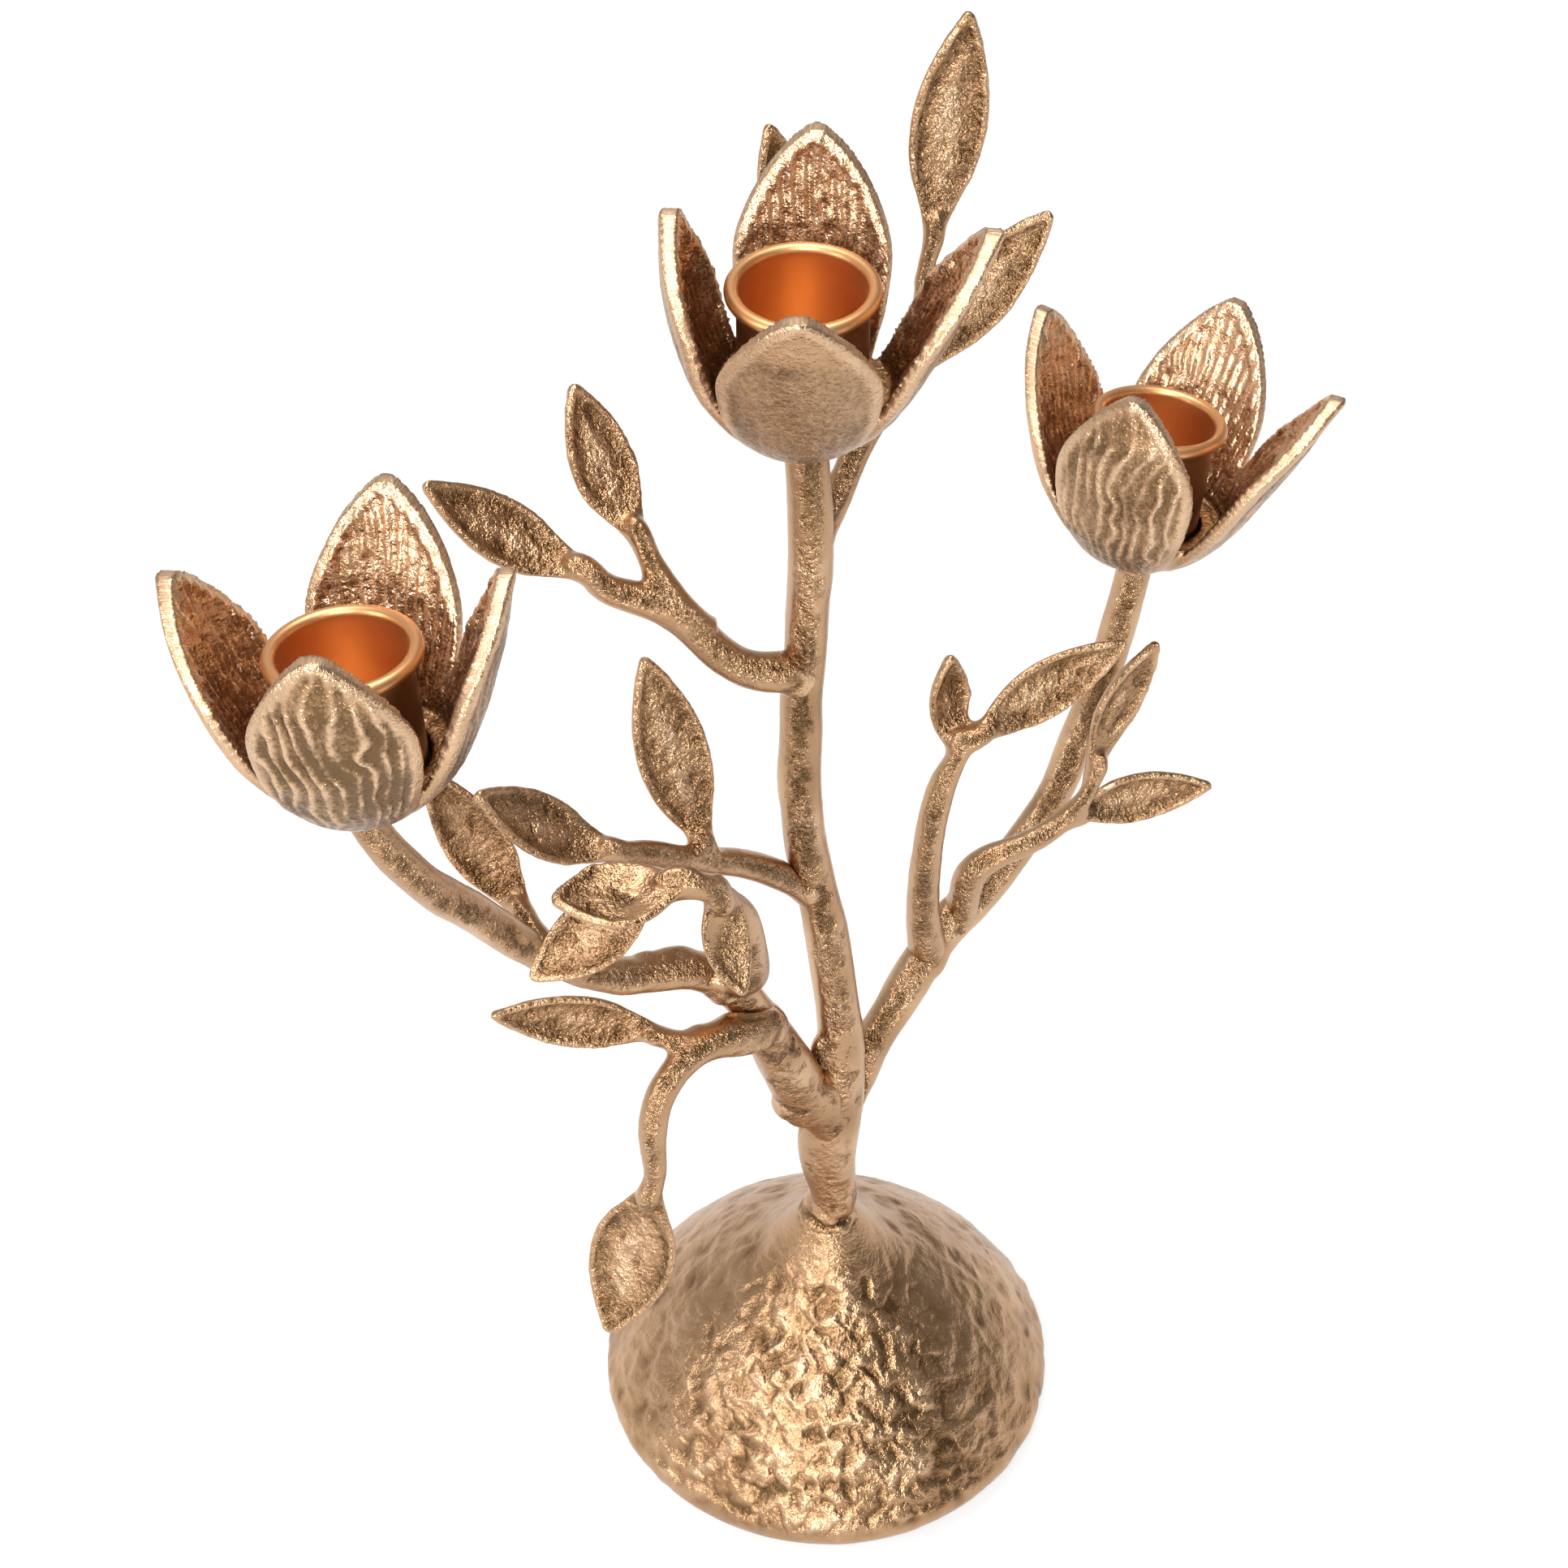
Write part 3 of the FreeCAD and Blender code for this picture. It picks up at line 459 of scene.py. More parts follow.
def bump(tree, height, strength, distance, below=None):
    """A normal with that relief, on top of the one below."""
    node = add(tree, "ShaderNodeBump", Distance=distance)
    feed(tree, node.inputs["Strength"], strength)
    tree.links.new(height, node.inputs["Height"])
    if below is not None:
        tree.links.new(below, node.inputs["Normal"])
    return node.outputs["Normal"]


def make_cast_metal():
    """Antique gold: bright on ground edges and high spots, dark in pits, sparkling where it is left as cast."""
    material, tree, shader = nodes_of("antique_gold_casting")
    where = coordinates(tree)
    grain = texture(tree, where, Scale=1150.0, Detail=2.0, Roughness=0.65)
    satin = texture(tree, where, Scale=2600.0, Detail=1.0)
    blotch = texture(tree, where, Scale=120.0, Detail=2.0)
    scratch = texture(tree, attribute(tree, "brush", "Vector"), Scale=2.6, Detail=2.0, Roughness=0.7)
    rim, relief, patina_and_shade, cast = (attribute(tree, name) for name in ("rim", "relief", "patina_and_shade", "cast"))

    speck = calc(tree, "SUBTRACT", grain, 0.5)
    deep = calc(tree, "ADD", relief, calc(tree, "MULTIPLY", calc(tree, "MULTIPLY", speck, 0.9), cast))
    tint = mix(tree, blotch, BLOTCH_TINT, WHITE)
    body = mix(tree, 1.0, ramp(tree, deep, BODY), tint, "MULTIPLY")
    flecks = scaled(tree, speck, 2.0, -0.42)
    # Painted shade: patina, and the darkening that stands in for shade and dark reflections, share this one dark
    # colour.
    darkening = add(tree, "ShaderNodeClamp", Max=PATINA_AND_SHADE_MOST)
    feed(tree, darkening.inputs["Value"], scaled(tree, patina_and_shade, 1.7, flecks))
    body = mix(tree, darkening.outputs["Result"], body, PATINA_AND_SHADE)
    feed(tree, shader.inputs["Base Color"], mix(tree, rim, body, ramp(tree, scratch, EDGE)))

    polish = scaled(tree, rim, 0.14, calc(tree, "MULTIPLY", cast, -0.06))
    polish = calc(tree, "ADD", polish, 0.22)
    feed(tree, shader.inputs["Roughness"], scaled(tree, grain, 0.20, polish))

    unground = calc(tree, "MULTIPLY", cast, calc(tree, "SUBTRACT", 1.0, rim))
    normal = bump(tree, satin, 0.35, 0.00015)
    normal = bump(tree, grain, unground, 0.0010, normal)
    normal = bump(tree, scratch, calc(tree, "MULTIPLY", rim, 0.4), 0.0004, normal)
    feed(tree, shader.inputs["Normal"], normal)
    return material


def make_cup_metal():
    """Copper-coloured metal with fine turned lines."""
    material, tree, shader = nodes_of("spun_cup_metal")
    lines = texture(tree, attribute(tree, "turned", "Vector"), Scale=2.2, Detail=3.0, Roughness=0.7)
    colour = mix(tree, attribute(tree, "bead"), ramp(tree, lines, CUP_TONE), CUP_BEAD)
    # Painted shade: the outside of the cup is coloured dark, for the shade and dark reflections of the petals
    # round it.
    colour = mix(tree, attribute(tree, "outer"), colour, CUP_SHADED_OUTSIDE)
    feed(tree, shader.inputs["Base Color"], colour)
    feed(tree, shader.inputs["Roughness"], scaled(tree, lines, 0.16, 0.30))
    feed(tree, shader.inputs["Normal"], bump(tree, lines, 0.22, 0.0001))
    return material


def make_steel():
    """Zinc-plated steel, slightly cloudy."""
    material, tree, shader = nodes_of("zinc_steel")
    clouds = texture(tree, coordinates(tree), Scale=900.0, Detail=3.0)
    feed(tree, shader.inputs["Base Color"], ramp(tree, clouds, STEEL_TONE))
    feed(tree, shader.inputs["Roughness"], scaled(tree, clouds, 0.2, 0.25))
    feed(tree, shader.inputs["Normal"], bump(tree, clouds, 0.2, 0.0001))
    return material


def make_felt():
    """Black felt with a faint sheen."""
    material, tree, shader = nodes_of("black_felt", metallic=0.0)
    fibre = texture(tree, coordinates(tree), Scale=2500.0, Detail=4.0, Roughness=0.75, Distortion=1.5)
    feed(tree, shader.inputs["Base Color"], ramp(tree, fibre, FELT_TONE))
    shader.inputs["Roughness"].default_value = 0.95
    shader.inputs["Sheen Weight"].default_value = 0.35
    feed(tree, shader.inputs["Normal"], bump(tree, fibre, 0.8, 0.0004))
    return material


cast_metal = make_cast_metal()
cup_metal = make_cup_metal()
steel = make_steel()
felt = make_felt()


# Surfaces. Heights and sizes of features are in millimetres. Other values are shares from 0 to 1.

# The dome: the heights over which its pebbles begin, the radii over which its neck ends, how nearly it faces
# the front where the pebbles are bold, and how far they are warped
DOME_EDGE = (2.6, 5.5)
DOME_NECK = (9, 17)
DOME_BOLD = (0.60, 0.99)
DOME_WARP = 1.6

# Limbs: how nearly the metal faces front or back where it is streaked, with painted dark reflection, and where it
# is rough, and how flat it is where a leaf begins
STREAK = (0.84, 1.0)
ROUGH = (0.70, 0.97)
LEAF_FLATNESS = (0.40, 0.62)

# Size and height of the lumps along a limb, size of the pits, and how high the noise is where there is one
LIMB_LUMP_SIZE = 6.5
LIMB_LUMP = 0.34
PIT_SIZE = 1.7
PIT_RANGE = (0.35, 0.8)

# The stem: the height of the fork, and for each crack at the foot its height, width, depth, sway and seed
FORK = (98, 112)
CRACKS = ((62, 0.9, 1.0, 2.2, 141), (58.5, 0.8, 0.6, 2.0, 142))

# Leaves: heights of the lip round the dished face, the groove beside it, the midrib, the edge of the back,
# and the waves in the face, with their size
LIP = 0.34
GROOVE = 0.50
MIDRIB = 0.30
BACK_EDGE = 0.22
LEAF_WAVE = 0.17
LEAF_WAVE_SIZE = 3.2

# Where a leaf meets its twig: the distances over which its look begins, half the length of the metal there, and
# how far ahead the softened place lies, with its reach and rounds
ROOT_CLEAR = (3.5, 8.5)
ROOT_LENGTH = 5.2
ROOT_SOFT = (3.0, 11, 28)

# Ribs of the petals: the distance between two, their width as a share of it, and their height
RIB_STEP, RIB_WIDTH, RIB_HEIGHT = 1.9, 0.19, 0.62
SMALL_RIB_STEP, SMALL_RIB_WIDTH, SMALL_RIB_HEIGHT = 0.95, 0.25, 0.20
INNER_RIB_STEP, INNER_RIB_WIDTH, INNER_RIB_HEIGHT = 1.35, 0.25, 0.85
STREAK_HEIGHT = 0.10

# The radius at which the way round a flower is measured, the petal that faces the front, the heights over which
# the ribs end below a petal's edge, and the extra height of that edge
PETAL_RADIUS = 15
FRONT_PETAL = 3
PETAL_BAND = (33, 37)
THICK_EDGE = 0.36

# By flower: how strong the ribs are, and how strongly painted shade darkens the outside between and above them
RIBBED = {"top": 0.12, "left": 1.0, "right": 1.0}
DARK_GROUND = {"top": 0.62, "left": 1.0, "right": 0.80}
DARK_BAND = {"top": 0.0, "left": 0.7, "right": 0.7}


def same_for_all(way, p):
    """One way, repeated for each point."""
    return np.tile(np.array(way), (len(p), 1))


def cast_band(n, run):
    """1 along the front and the back of a limb, which are left as cast, and 0 on its ground sides."""
    across = FRONT - run * (run @ FRONT)[:, None]
    across /= np.maximum(np.linalg.norm(across, axis=1), 0.05)[:, None]
    return np.abs((n * across).sum(axis=1))


def dome_surface(p, n, inset):
    """The foot: folded pebbles, bold where it faces the front and shallow elsewhere."""
    away = np.hypot(p[:, 0], p[:, 1])
    outward = (n[:, 0] * p[:, 0] + n[:, 1] * p[:, 1]) / np.maximum(away, 1) + n[:, 2]
    skin_side = fade(outward, 0.05, 0.3) * fade(p[:, 2], *DOME_EDGE)
    bold = fade(toward(n), *DOME_BOLD)
    warp = np.stack([noise(p, 5, seed) for seed in (11, 12, 13)], axis=1) * DOME_WARP
    folded = folds(p + warp, 4.0, 22) + folds(p - warp, 2.3, 23) * 0.40
    lumps = pebbles(p + warp, 5.0, 21) * 0.46 + folded * 0.34 + pebbles(p - warp, 2.8, 31) * 0.20 - 0.62
    crease = bell(noise(p + warp, 3.6, 61), 0.15)
    dents = -0.42 * pebbles(p + warp * 1.4, 7.5, 71) ** 5
    broad = noise(p, 11, 41) * 0.20 + noise(p + warp, 5, 42) * 0.14
    height = broad + lumps * (0.28 + 0.72 * bold) - 0.32 * crease * bold + dents * (1 - 0.6 * bold)
    height = height + grains(p, 0.05 + 0.07 * bold, 51)
    height *= 0.25 + 0.75 * fade(away, *DOME_NECK)
    height *= skin_side
    # Painted shade: creases and hollows are darkened only on the side that faces the front, for the shade and
    # dark reflections there.
    patina_and_shade = bold * (0.42 * crease + 0.40 * fade(-height, 0.2, 0.7))
    patina_and_shade = patina_and_shade * fade(noise(p, 8, 81), -0.6, 0.2) * skin_side
    return height, patina_and_shade, 0.16 + 0.20 * bold, np.zeros(len(p)), same_for_all((0.0, 0.0, 1.0), p)


def limb_parts(p, n, seed):
    """(grain height, patina and painted shade, roughness, share of leaf) of a limb, with cast streaks in front
    and behind that are painted dark for the dark reflections there.
    """
    run, flat = runs_of(p)
    ragged = cast_band(n, run) + noise(p, 2.2, seed + 3) * 0.07 + noise(p, 7, seed + 4) * 0.05
    streak = fade(ragged, *STREAK)
    wide = fade(ragged, *ROUGH)
    grain = grains(p, 0.05 + 0.24 * wide, seed + 20) - 0.12 * streak
    pits = -0.24 * fade(noise(p, PIT_SIZE, seed + 5), *PIT_RANGE) * wide
    patchy = fade(noise(p, 9, seed + 6), -0.75, 0.3)
    # Painted shade: the streaks are darkened as a stand-in for the dark room that they would reflect.
    patina_and_shade = streak * (0.20 + 0.50 * patchy)
    return grain + pits, patina_and_shade, 0.10 + 0.90 * wide, fade(flat, *LEAF_FLATNESS)


def limb_surface(seed):
    """A bough or the stem: lumpy along its run."""

    def surface(p, n, inset):
        grain, patina_and_shade, cast, _ = limb_parts(p, n, seed)
        height = noise(p * np.array([1, 1, 0.6]), LIMB_LUMP_SIZE, seed) * LIMB_LUMP + grain
        return height, patina_and_shade, cast, np.zeros(len(p)), same_for_all(FRONT, p)

    return surface


def trunk_surface(p, n, inset):
    """The stem: calmer below the fork, and cracked across its front where its foot is welded on."""
    height, patina_and_shade, cast, rim, thick = limb_surface(seed=100)(p, n, inset)
    below = 1 - fade(p[:, 2], *FORK)
    front = fade(toward(n), 0.1, 0.6)
    crack = 0
    for level, width, depth, sway, seed in CRACKS:
        crack = crack + depth * bell(p[:, 2] - level + noise(p, 3, seed) * sway, width) * front
    pits = below * fade(noise(p * np.array([1, 1, 0.5]), 2.6, 143), 0.42, 0.6)
    height = height - 0.65 * crack - 0.30 * pits
    patina_and_shade = patina_and_shade * (1 - 0.8 * below) + 0.8 * crack + 0.45 * pits
    return height, patina_and_shade, cast * (1 - 0.5 * below), rim, thick


def spray_surface(seed, roots):
    """Twig and leaves. A leaf's dished face has a smooth raised lip, a groove beside it and a coarse middle."""

    def surface(p, n, inset):
        grain, patina_and_shade, cast, leaf = limb_parts(p, n, seed)
        face = fade(toward(n), -0.05, 0.25)
        for root, _, _ in roots:
            leaf = leaf * fade(np.linalg.norm(p - np.array(root), axis=1), *ROOT_CLEAR)
        ground = (1 - face) * (1 - fade(inset, 1.3, 2.3)) * leaf
        lip = LIP * (1 - fade(inset, 1.1, 2.0))
        groove = -GROOVE * fade(inset, 1.3, 2.2) * (1 - fade(inset, 2.6, 5.5))
        midrib = MIDRIB * fade(inset, 4.6, 6.8)
        inner = fade(inset, 1.2, 2.1)
        wave = noise(p * np.array([1, 1, 0.55]), LEAF_WAVE_SIZE, seed + 33)
        coarse = grains(p, (0.08 + 0.27 * face) * (0.15 + 0.85 * inner), seed + 30)
        coarse = coarse + LEAF_WAVE * wave * face * inner
        coarse = coarse - 0.36 * fade(noise(p, PIT_SIZE, seed + 31), *PIT_RANGE) * face * inner
        height = noise(p, 6.0, seed) * 0.10 + coarse * leaf + grain * (1 - leaf)
        height = height * (1 - 0.92 * ground) + (lip + groove + midrib) * face * leaf
        height = height + BACK_EDGE * (1 - face) * (1 - fade(inset, 1.0, 3.0)) * leaf
        # Painted shade: the dished face that looks to the front is darkened, most beside its groove, for the
        # shade and dark reflections there.
        dark = face * inner * (0.16 + 0.28 * (1 - fade(inset, 2.2, 3.6)))
        patina_and_shade = dark * leaf + patina_and_shade * (1 - leaf)
        cast = (0.26 + 0.52 * face * inner) * (1 - ground) * leaf + cast * (1 - leaf)
        return height, patina_and_shade, cast, ground, same_for_all(FRONT, p)

    return surface


def flower_surface(side, seed):
    """Calyx and petals: ribs up the outside, finer ones up the inside, and ground edges."""
    seat, axis, angles = FLOWERS[side]
    turn = np.array(UPRIGHT.rotation_difference(Vector(axis).normalized()).to_matrix())
    ribbed = RIBBED[side]

    def places(p, n):
        """Places in the flower's own frame, distances from its axis, how far the metal faces outward, the
        nearest petal, and the way round from that petal's middle."""
        q = (p - np.array(seat)) @ turn
        m = n @ turn
        away = np.hypot(q[:, 0], q[:, 1])
        outward = (m[:, 0] * q[:, 0] + m[:, 1] * q[:, 1]) / np.maximum(away, 0.5)
        round_about = np.degrees(np.arctan2(q[:, 1], q[:, 0]))
        gaps = np.stack([(round_about - a + 180) % 360 - 180 for a in angles], axis=1)
        mine = np.abs(gaps).argmin(axis=1)
        return q, away, outward, mine, np.radians(gaps[np.arange(len(q)), mine]) * PETAL_RADIUS

    def surface(p, n, inset):
        q, away, outward, mine, arc = places(p, n)
        tall = q[:, 2]
        outside = fade(outward, 0.2, 0.6)
        rim = (1 - fade(np.abs(outward), 0.38, 0.62)) * fade(tall, 8, 11)
        bare = 1 - 0.8 * fade(tall, *PETAL_BAND)

        bend = noise(q, 9, seed + 1) * 0.75 + noise(q, 3.5, seed + 2) * 0.30
        patchy = 0.45 + 0.55 * fade(noise(q, 4.5, seed + 4), -0.5, 0.3)
        crest = ridges(arc / RIB_STEP + bend, RIB_WIDTH) * patchy
        between = ridges(arc / SMALL_RIB_STEP + bend * 2.3 + 0.4, SMALL_RIB_WIDTH)
        between = between * fade(noise(q, 3.5, seed + 7), -0.2, 0.6)
        streaks = noise(q * np.array([1, 1, 0.22]), 0.9, seed + 8)
        ribs = (crest * RIB_HEIGHT + between * SMALL_RIB_HEIGHT) * ribbed + streaks * STREAK_HEIGHT
        front_petal = (mine == FRONT_PETAL).astype(float)
        wide_ribs = ribs * bare * (0.20 + 0.80 * front_petal)

        wavy = noise(q * np.array([1, 1, 0.45]), 1.7, seed + 10)
        fine_ribs = ridges(arc / INNER_RIB_STEP + bend * 0.4, INNER_RIB_WIDTH) * (0.62 + 0.38 * wavy)
        fine_ribs = fine_ribs * INNER_RIB_HEIGHT + wavy * 0.16
        raised = 0.28 * fade(tall, 16, 30)
        on_petal = fade(tall, 5, 10) * fade(inset, 0.6, 1.8)
        height = (wide_ribs * outside + (fine_ribs + raised) * (1 - outside)) * on_petal

        calm = 0.05 + 0.95 * fade(inset, 0.5, 2.4)
        height = height + grains(p, 0.11 + 0.07 * (1 - outside), seed + 20) * calm
        height = height + noise(p, 6, seed + 5) * 0.10
        height = height + THICK_EDGE * (1 - fade(inset, 1.3, 3.2)) * fade(tall, 9, 15)
        near_cup = 1 - fade(away, 12.5, 14.5)
        height *= (1 - 0.85 * rim) * (1 - 0.9 * near_cup * fade(8 - tall, -2, 0))
        height *= 1 - 0.95 * fade(-tall, -1.5, -0.5)

        # Painted shade: the outside is darkened between the ribs and in the band above them, for the dark
        # reflections the petals would show.
        ground = (1 - 0.75 * crest * ribbed) * (0.6 + 0.4 * fade(noise(q, 7, seed + 9), -0.6, 0.5))
        ground = ground * DARK_GROUND[side] * fade(inset, 0.4, 3.0)
        ground = ground * (bare + (1 - bare) * DARK_BAND[side])
        # Painted shadow: the flower is darkened deep down towards the cup, and in the furrows between the inner
        # ribs, where shade falls.
        deep = 0.62 * (1 - fade(tall, 9, 22))
        furrow = 0.08 * (1 - fade(height, 0.05, 0.35))
        patina_and_shade = (outside * ground + (1 - outside) * (deep + furrow)) * (1 - rim)
        cast = (0.42 - 0.10 * (1 - outside)) * (1 - rim)
        angle = np.radians(np.array(angles, float)[mine])
        thick = np.stack([np.cos(angle), np.sin(angle), np.zeros(len(q))], axis=1) @ turn.T
        return height, patina_and_shade, cast, rim, thick

    return surface


# Castings. Lumps of weld and metal where they join have a centre, radii, and the way the last radius runs.

skin("base_dome", dome_surface, voxel=DOME_VOXEL)
skin(
    "trunk_stem", trunk_surface,
    lumps=[
        ((0, 0, 57.6), (7.5, 7.5, 6.6)),
        ((0, 0, 62.5), (5.6, 5.6, 5.5)),
        ((-3.4, -0.9, 117.0), (2.0, 2.2, 5.0)),
        ((0.2, -0.8, 92), (5.7, 5.7, 9.0)),
    ],
    joints=[((0, 0, 64), 7, 16), ((-3, 0, 118), 8, 10), ((0.2, -0.8, 94), 18, 24)],
)
skin(
    "left_bough", limb_surface(seed=200),
    lumps=[
        ((-40.5, -0.4, 168.4), (2.6, 3.4, 7.0), (-0.9, 0.0, 0.42)),
        ((-46.0, 0.4, 170.6), (2.0, 2.8, 4.5), (-0.9, 0.1, 0.40)),
        ((-19.5, -2.0, 137.5), (4.9, 4.9, 5.4), (-0.6, 0.0, 0.8)),
        ((-9.6, 0.5, 104.6), (5.0, 4.8, 5.4)),
        ((-3.6, -1.2, 101.5), (5.6, 5.5, 9.5)),
        ((-1.0, -1.4, 96.0), (5.6, 5.4, 8.0)),
    ],
    joints=[((-42, 0, 168), 10, 8), ((-19.5, -2, 137.5), 11, 16), ((-4, -1, 101), 16, 26)],
)
skin(
    "right_bough", limb_surface(seed=300),
    lumps=[
        ((29.0, 1.8, 128.4), (4.6, 4.4, 6.0), (0.75, 0.0, 0.66)),
        ((26.6, 0.4, 125.6), (4.2, 4.5, 5.6), (0.65, 0.0, 0.76)),
        ((33.0, 1.6, 133.0), (3.6, 4.4, 6.4), (0.45, 0.0, 0.9)),
    ],
    joints=[((31, 2, 130), 12, 18)],
)

# Sprays: the seed of the noise, lumps, joints, and for each leaf where it leaves its twig, the way it runs,
# and how thick the twig ends there
SPRAYS = {
    "upper_left_spray": {
        "seed": 400,
        "lumps": [
            ((-6.0, 4.3, 222.2), (4.9, 4.8, 6.3)),
            ((-8.6, 4.6, 224.0), (3.9, 3.9, 4.6), (-0.9, 0.2, 0.3)),
        ],
        "joints": [((-8, 4.5, 223.5), 12, 16)],
        "roots": [((-41, 21, 254), (-0.66, 0.44, 0.61), 2.9), ((-30, 20, 256.5), (-0.1, 0.47, 0.88), 2.6)],
    },
    "mid_left_spray": {
        "seed": 450,
        "lumps": [
            ((-3.8, 2.8, 165.0), (4.9, 4.9, 5.2)),
            ((-6.8, 3.2, 166.6), (3.3, 3.3, 3.8), (-0.7, 0.0, 0.6)),
        ],
        "joints": [((-5.5, 3, 166), 10, 14)],
        "roots": [((-50.5, 0.5, 204), (-0.7, 0.19, 0.69), 2.5), ((-29, 2.5, 189.5), (-0.05, 0.37, 0.93), 2.4)],
    },
    "front_spray": {
        "seed": 500,
        "lumps": [
            ((-32.6, -3.8, 161.0), (4.2, 4.4, 5.6), (-0.4, -0.5, 0.8)),
            ((-30.2, -3.2, 157.2), (4.4, 4.4, 4.6)),
        ],
        "joints": [((-31.5, -4, 159.5), 11, 16)],
        "roots": [
            ((-52.5, -22, 217), (-0.92, 0.38, 0.05), 2.3),
            ((-45.5, -24.5, 210.5), (-0.02, -0.38, -0.93), 2.5),
            ((-58.5, -19.5, 212.5), (-0.74, 0.33, -0.58), 2.2),
        ],
    },
    "hanging_spray": {
        "seed": 550,
        "lumps": [
            ((-20.3, -4.4, 139.2), (5.2, 5.2, 5.2)),
            ((-24.6, -5.3, 141.8), (4.9, 4.9, 5.4), (-0.8, -0.1, 0.5)),
            ((-38.0, -6.8, 150.2), (2.8, 2.8, 4.0), (-0.6, 0.3, 0.5)),
        ],
        "joints": [((-23, -5, 141), 13, 18), ((-37, -6.5, 150), 9, 10)],
        "roots": [((-56.5, -13, 121), (-0.3, 0.01, -0.95), 2.7), ((-45, -4.5, 152), (-0.84, 0.4, 0.36), 2.3)],
    },
    "bough_leaf": {
        "seed": 600,
        "lumps": [((-70.7, 1.2, 191.0), (4.2, 4.4, 4.4))],
        "joints": [((-70, 2, 192), 8, 10)],
        "roots": [((-70.5, 3.5, 195.5), (-0.24, 0.52, 0.82), 2.3)],
    },
    "right_inner_spray": {
        "seed": 650,
        "lumps": [((27.0, 1.0, 129.0), (4.3, 4.3, 6.5))],
        "joints": [((27, 1, 129.5), 10, 14)],
        "roots": [((29.5, -3.5, 188), (0.06, 0.22, 0.97), 2.3), ((32, -5, 190.5), (0.9, -0.21, 0.38), 2.5)],
    },
    "right_outer_spray": {
        "seed": 700,
        "lumps": [((35.2, 0.6, 135.5), (3.8, 4.0, 6.0))],
        "joints": [((35, 1, 136), 10, 14)],
        "roots": [
            ((62.5, -9, 166.5), (0.41, -0.06, 0.91), 2.3),
            ((57.5, -8.5, 156.5), (0.92, -0.38, 0.04), 2.3),
        ],
    },
    "top_back_spray": {
        "seed": 750,
        "lumps": [((-3.6, 3.4, 256.0), (4.8, 4.8, 5.0))],
        "joints": [((-2, 4, 256), 9, 12)],
        "roots": [
            ((28.5, 14.5, 271), (0.7, -0.13, 0.7), 2.5),
            ((36, 18.5, 296), (0.23, 0.09, 0.97), 2.2),
            ((16, 27, 287.5), (-0.07, 0.32, 0.94), 2.1),
        ],
    },
}


def skin_spray(node, seed, lumps, joints, roots):
    """A spray's skin, with metal that leads each twig into its leaf."""
    soft_place, soft_reach, soft_rounds = ROOT_SOFT
    for root, way, wide in roots:
        ahead = Vector(way).normalized()
        lumps = lumps + [(tuple(Vector(root) + ahead), (wide, wide, ROOT_LENGTH), way)]
        joints = joints + [(tuple(Vector(root) + ahead * soft_place), soft_reach, soft_rounds)]
    skin(node, spray_surface(seed, roots), lumps=lumps, joints=joints, leaves=True)


for node, made in SPRAYS.items():
    skin_spray(node, **made)
for index, side in enumerate(FLOWERS):
    skin(side + "_flower", flower_surface(side, seed=900 + 60 * index))


# Cups and felt: turned shapes, as closed loops of (radius, height)

# The cup's place above the flower's seat, the radii of its wall, its rolled rim, and heights of rings in the wall

CUP_SEGMENTS = 144
CUP_LIFT = 5.0
CUP_BORE = 11.2
CUP_OUTER = 11.7
BEAD_MIDDLE = (12.5, 24.7)
BEAD_RADIUS = 1.32
WALL_HEIGHTS = (4.0, 8.0, 12.0, 16.0, 20.0)

PAD_SEGMENTS = 360
PAD_RADIUS = 48.0
PAD_THICKNESS = 2.0


def lathe(name, rings, place, segments):
    """A closed skin turned about the Z of its place through (radius, height) rings in millimetres."""
    work = bmesh.new()
    loops = []
    for radius, height in rings:
        loop = []
        for k in range(segments):
            turn = 2 * math.pi * k / segments
            spot = Vector((radius * math.cos(turn), radius * math.sin(turn), height)) * MM
            loop.append(work.verts.new(place @ spot))
        loops.append(loop)
    for one, two in zip(loops, loops[1:] + loops[:1]):
        for k in range(segments):
            j = (k + 1) % segments
            work.faces.new((one[k], one[j], two[j], two[k]))
    bmesh.ops.recalc_face_normals(work, faces=work.faces)
    mesh = bpy.data.meshes.new(name)
    work.to_mesh(mesh)
    work.free()
    obj = bpy.data.objects.new(name, mesh)
    bpy.context.scene.collection.objects.link(obj)
    return obj


def cup_rings():
    """Up the inside from the screw hole's dimple, round the bead, and down the outside."""
    inner = [(2.15, -2.9), (5.0, -2.9), (5.3, -2.6), (5.3, 0.1), (5.7, 0.5), (10.6, 0.5), (11.05, 0.65)]
    inner += [(CUP_BORE, height) for height in (1.1, *WALL_HEIGHTS, 23.6)]
    middle, level = BEAD_MIDDLE
    turns = [math.radians(angle) for angle in range(180, -80, -20)]
    bead = [(middle + BEAD_RADIUS * math.cos(t), level + BEAD_RADIUS * math.sin(t)) for t in turns]
    outer = [(11.85, 23.4)] + [(CUP_OUTER, height) for height in (*reversed(WALL_HEIGHTS), 0.9)]
    outer += [(11.45, 0.3), (11.0, 0.0), (5.9, 0.0), (5.8, -0.3), (5.8, -3.1), (5.4, -3.4), (2.15, -3.4)]
    return inner + bead + outer


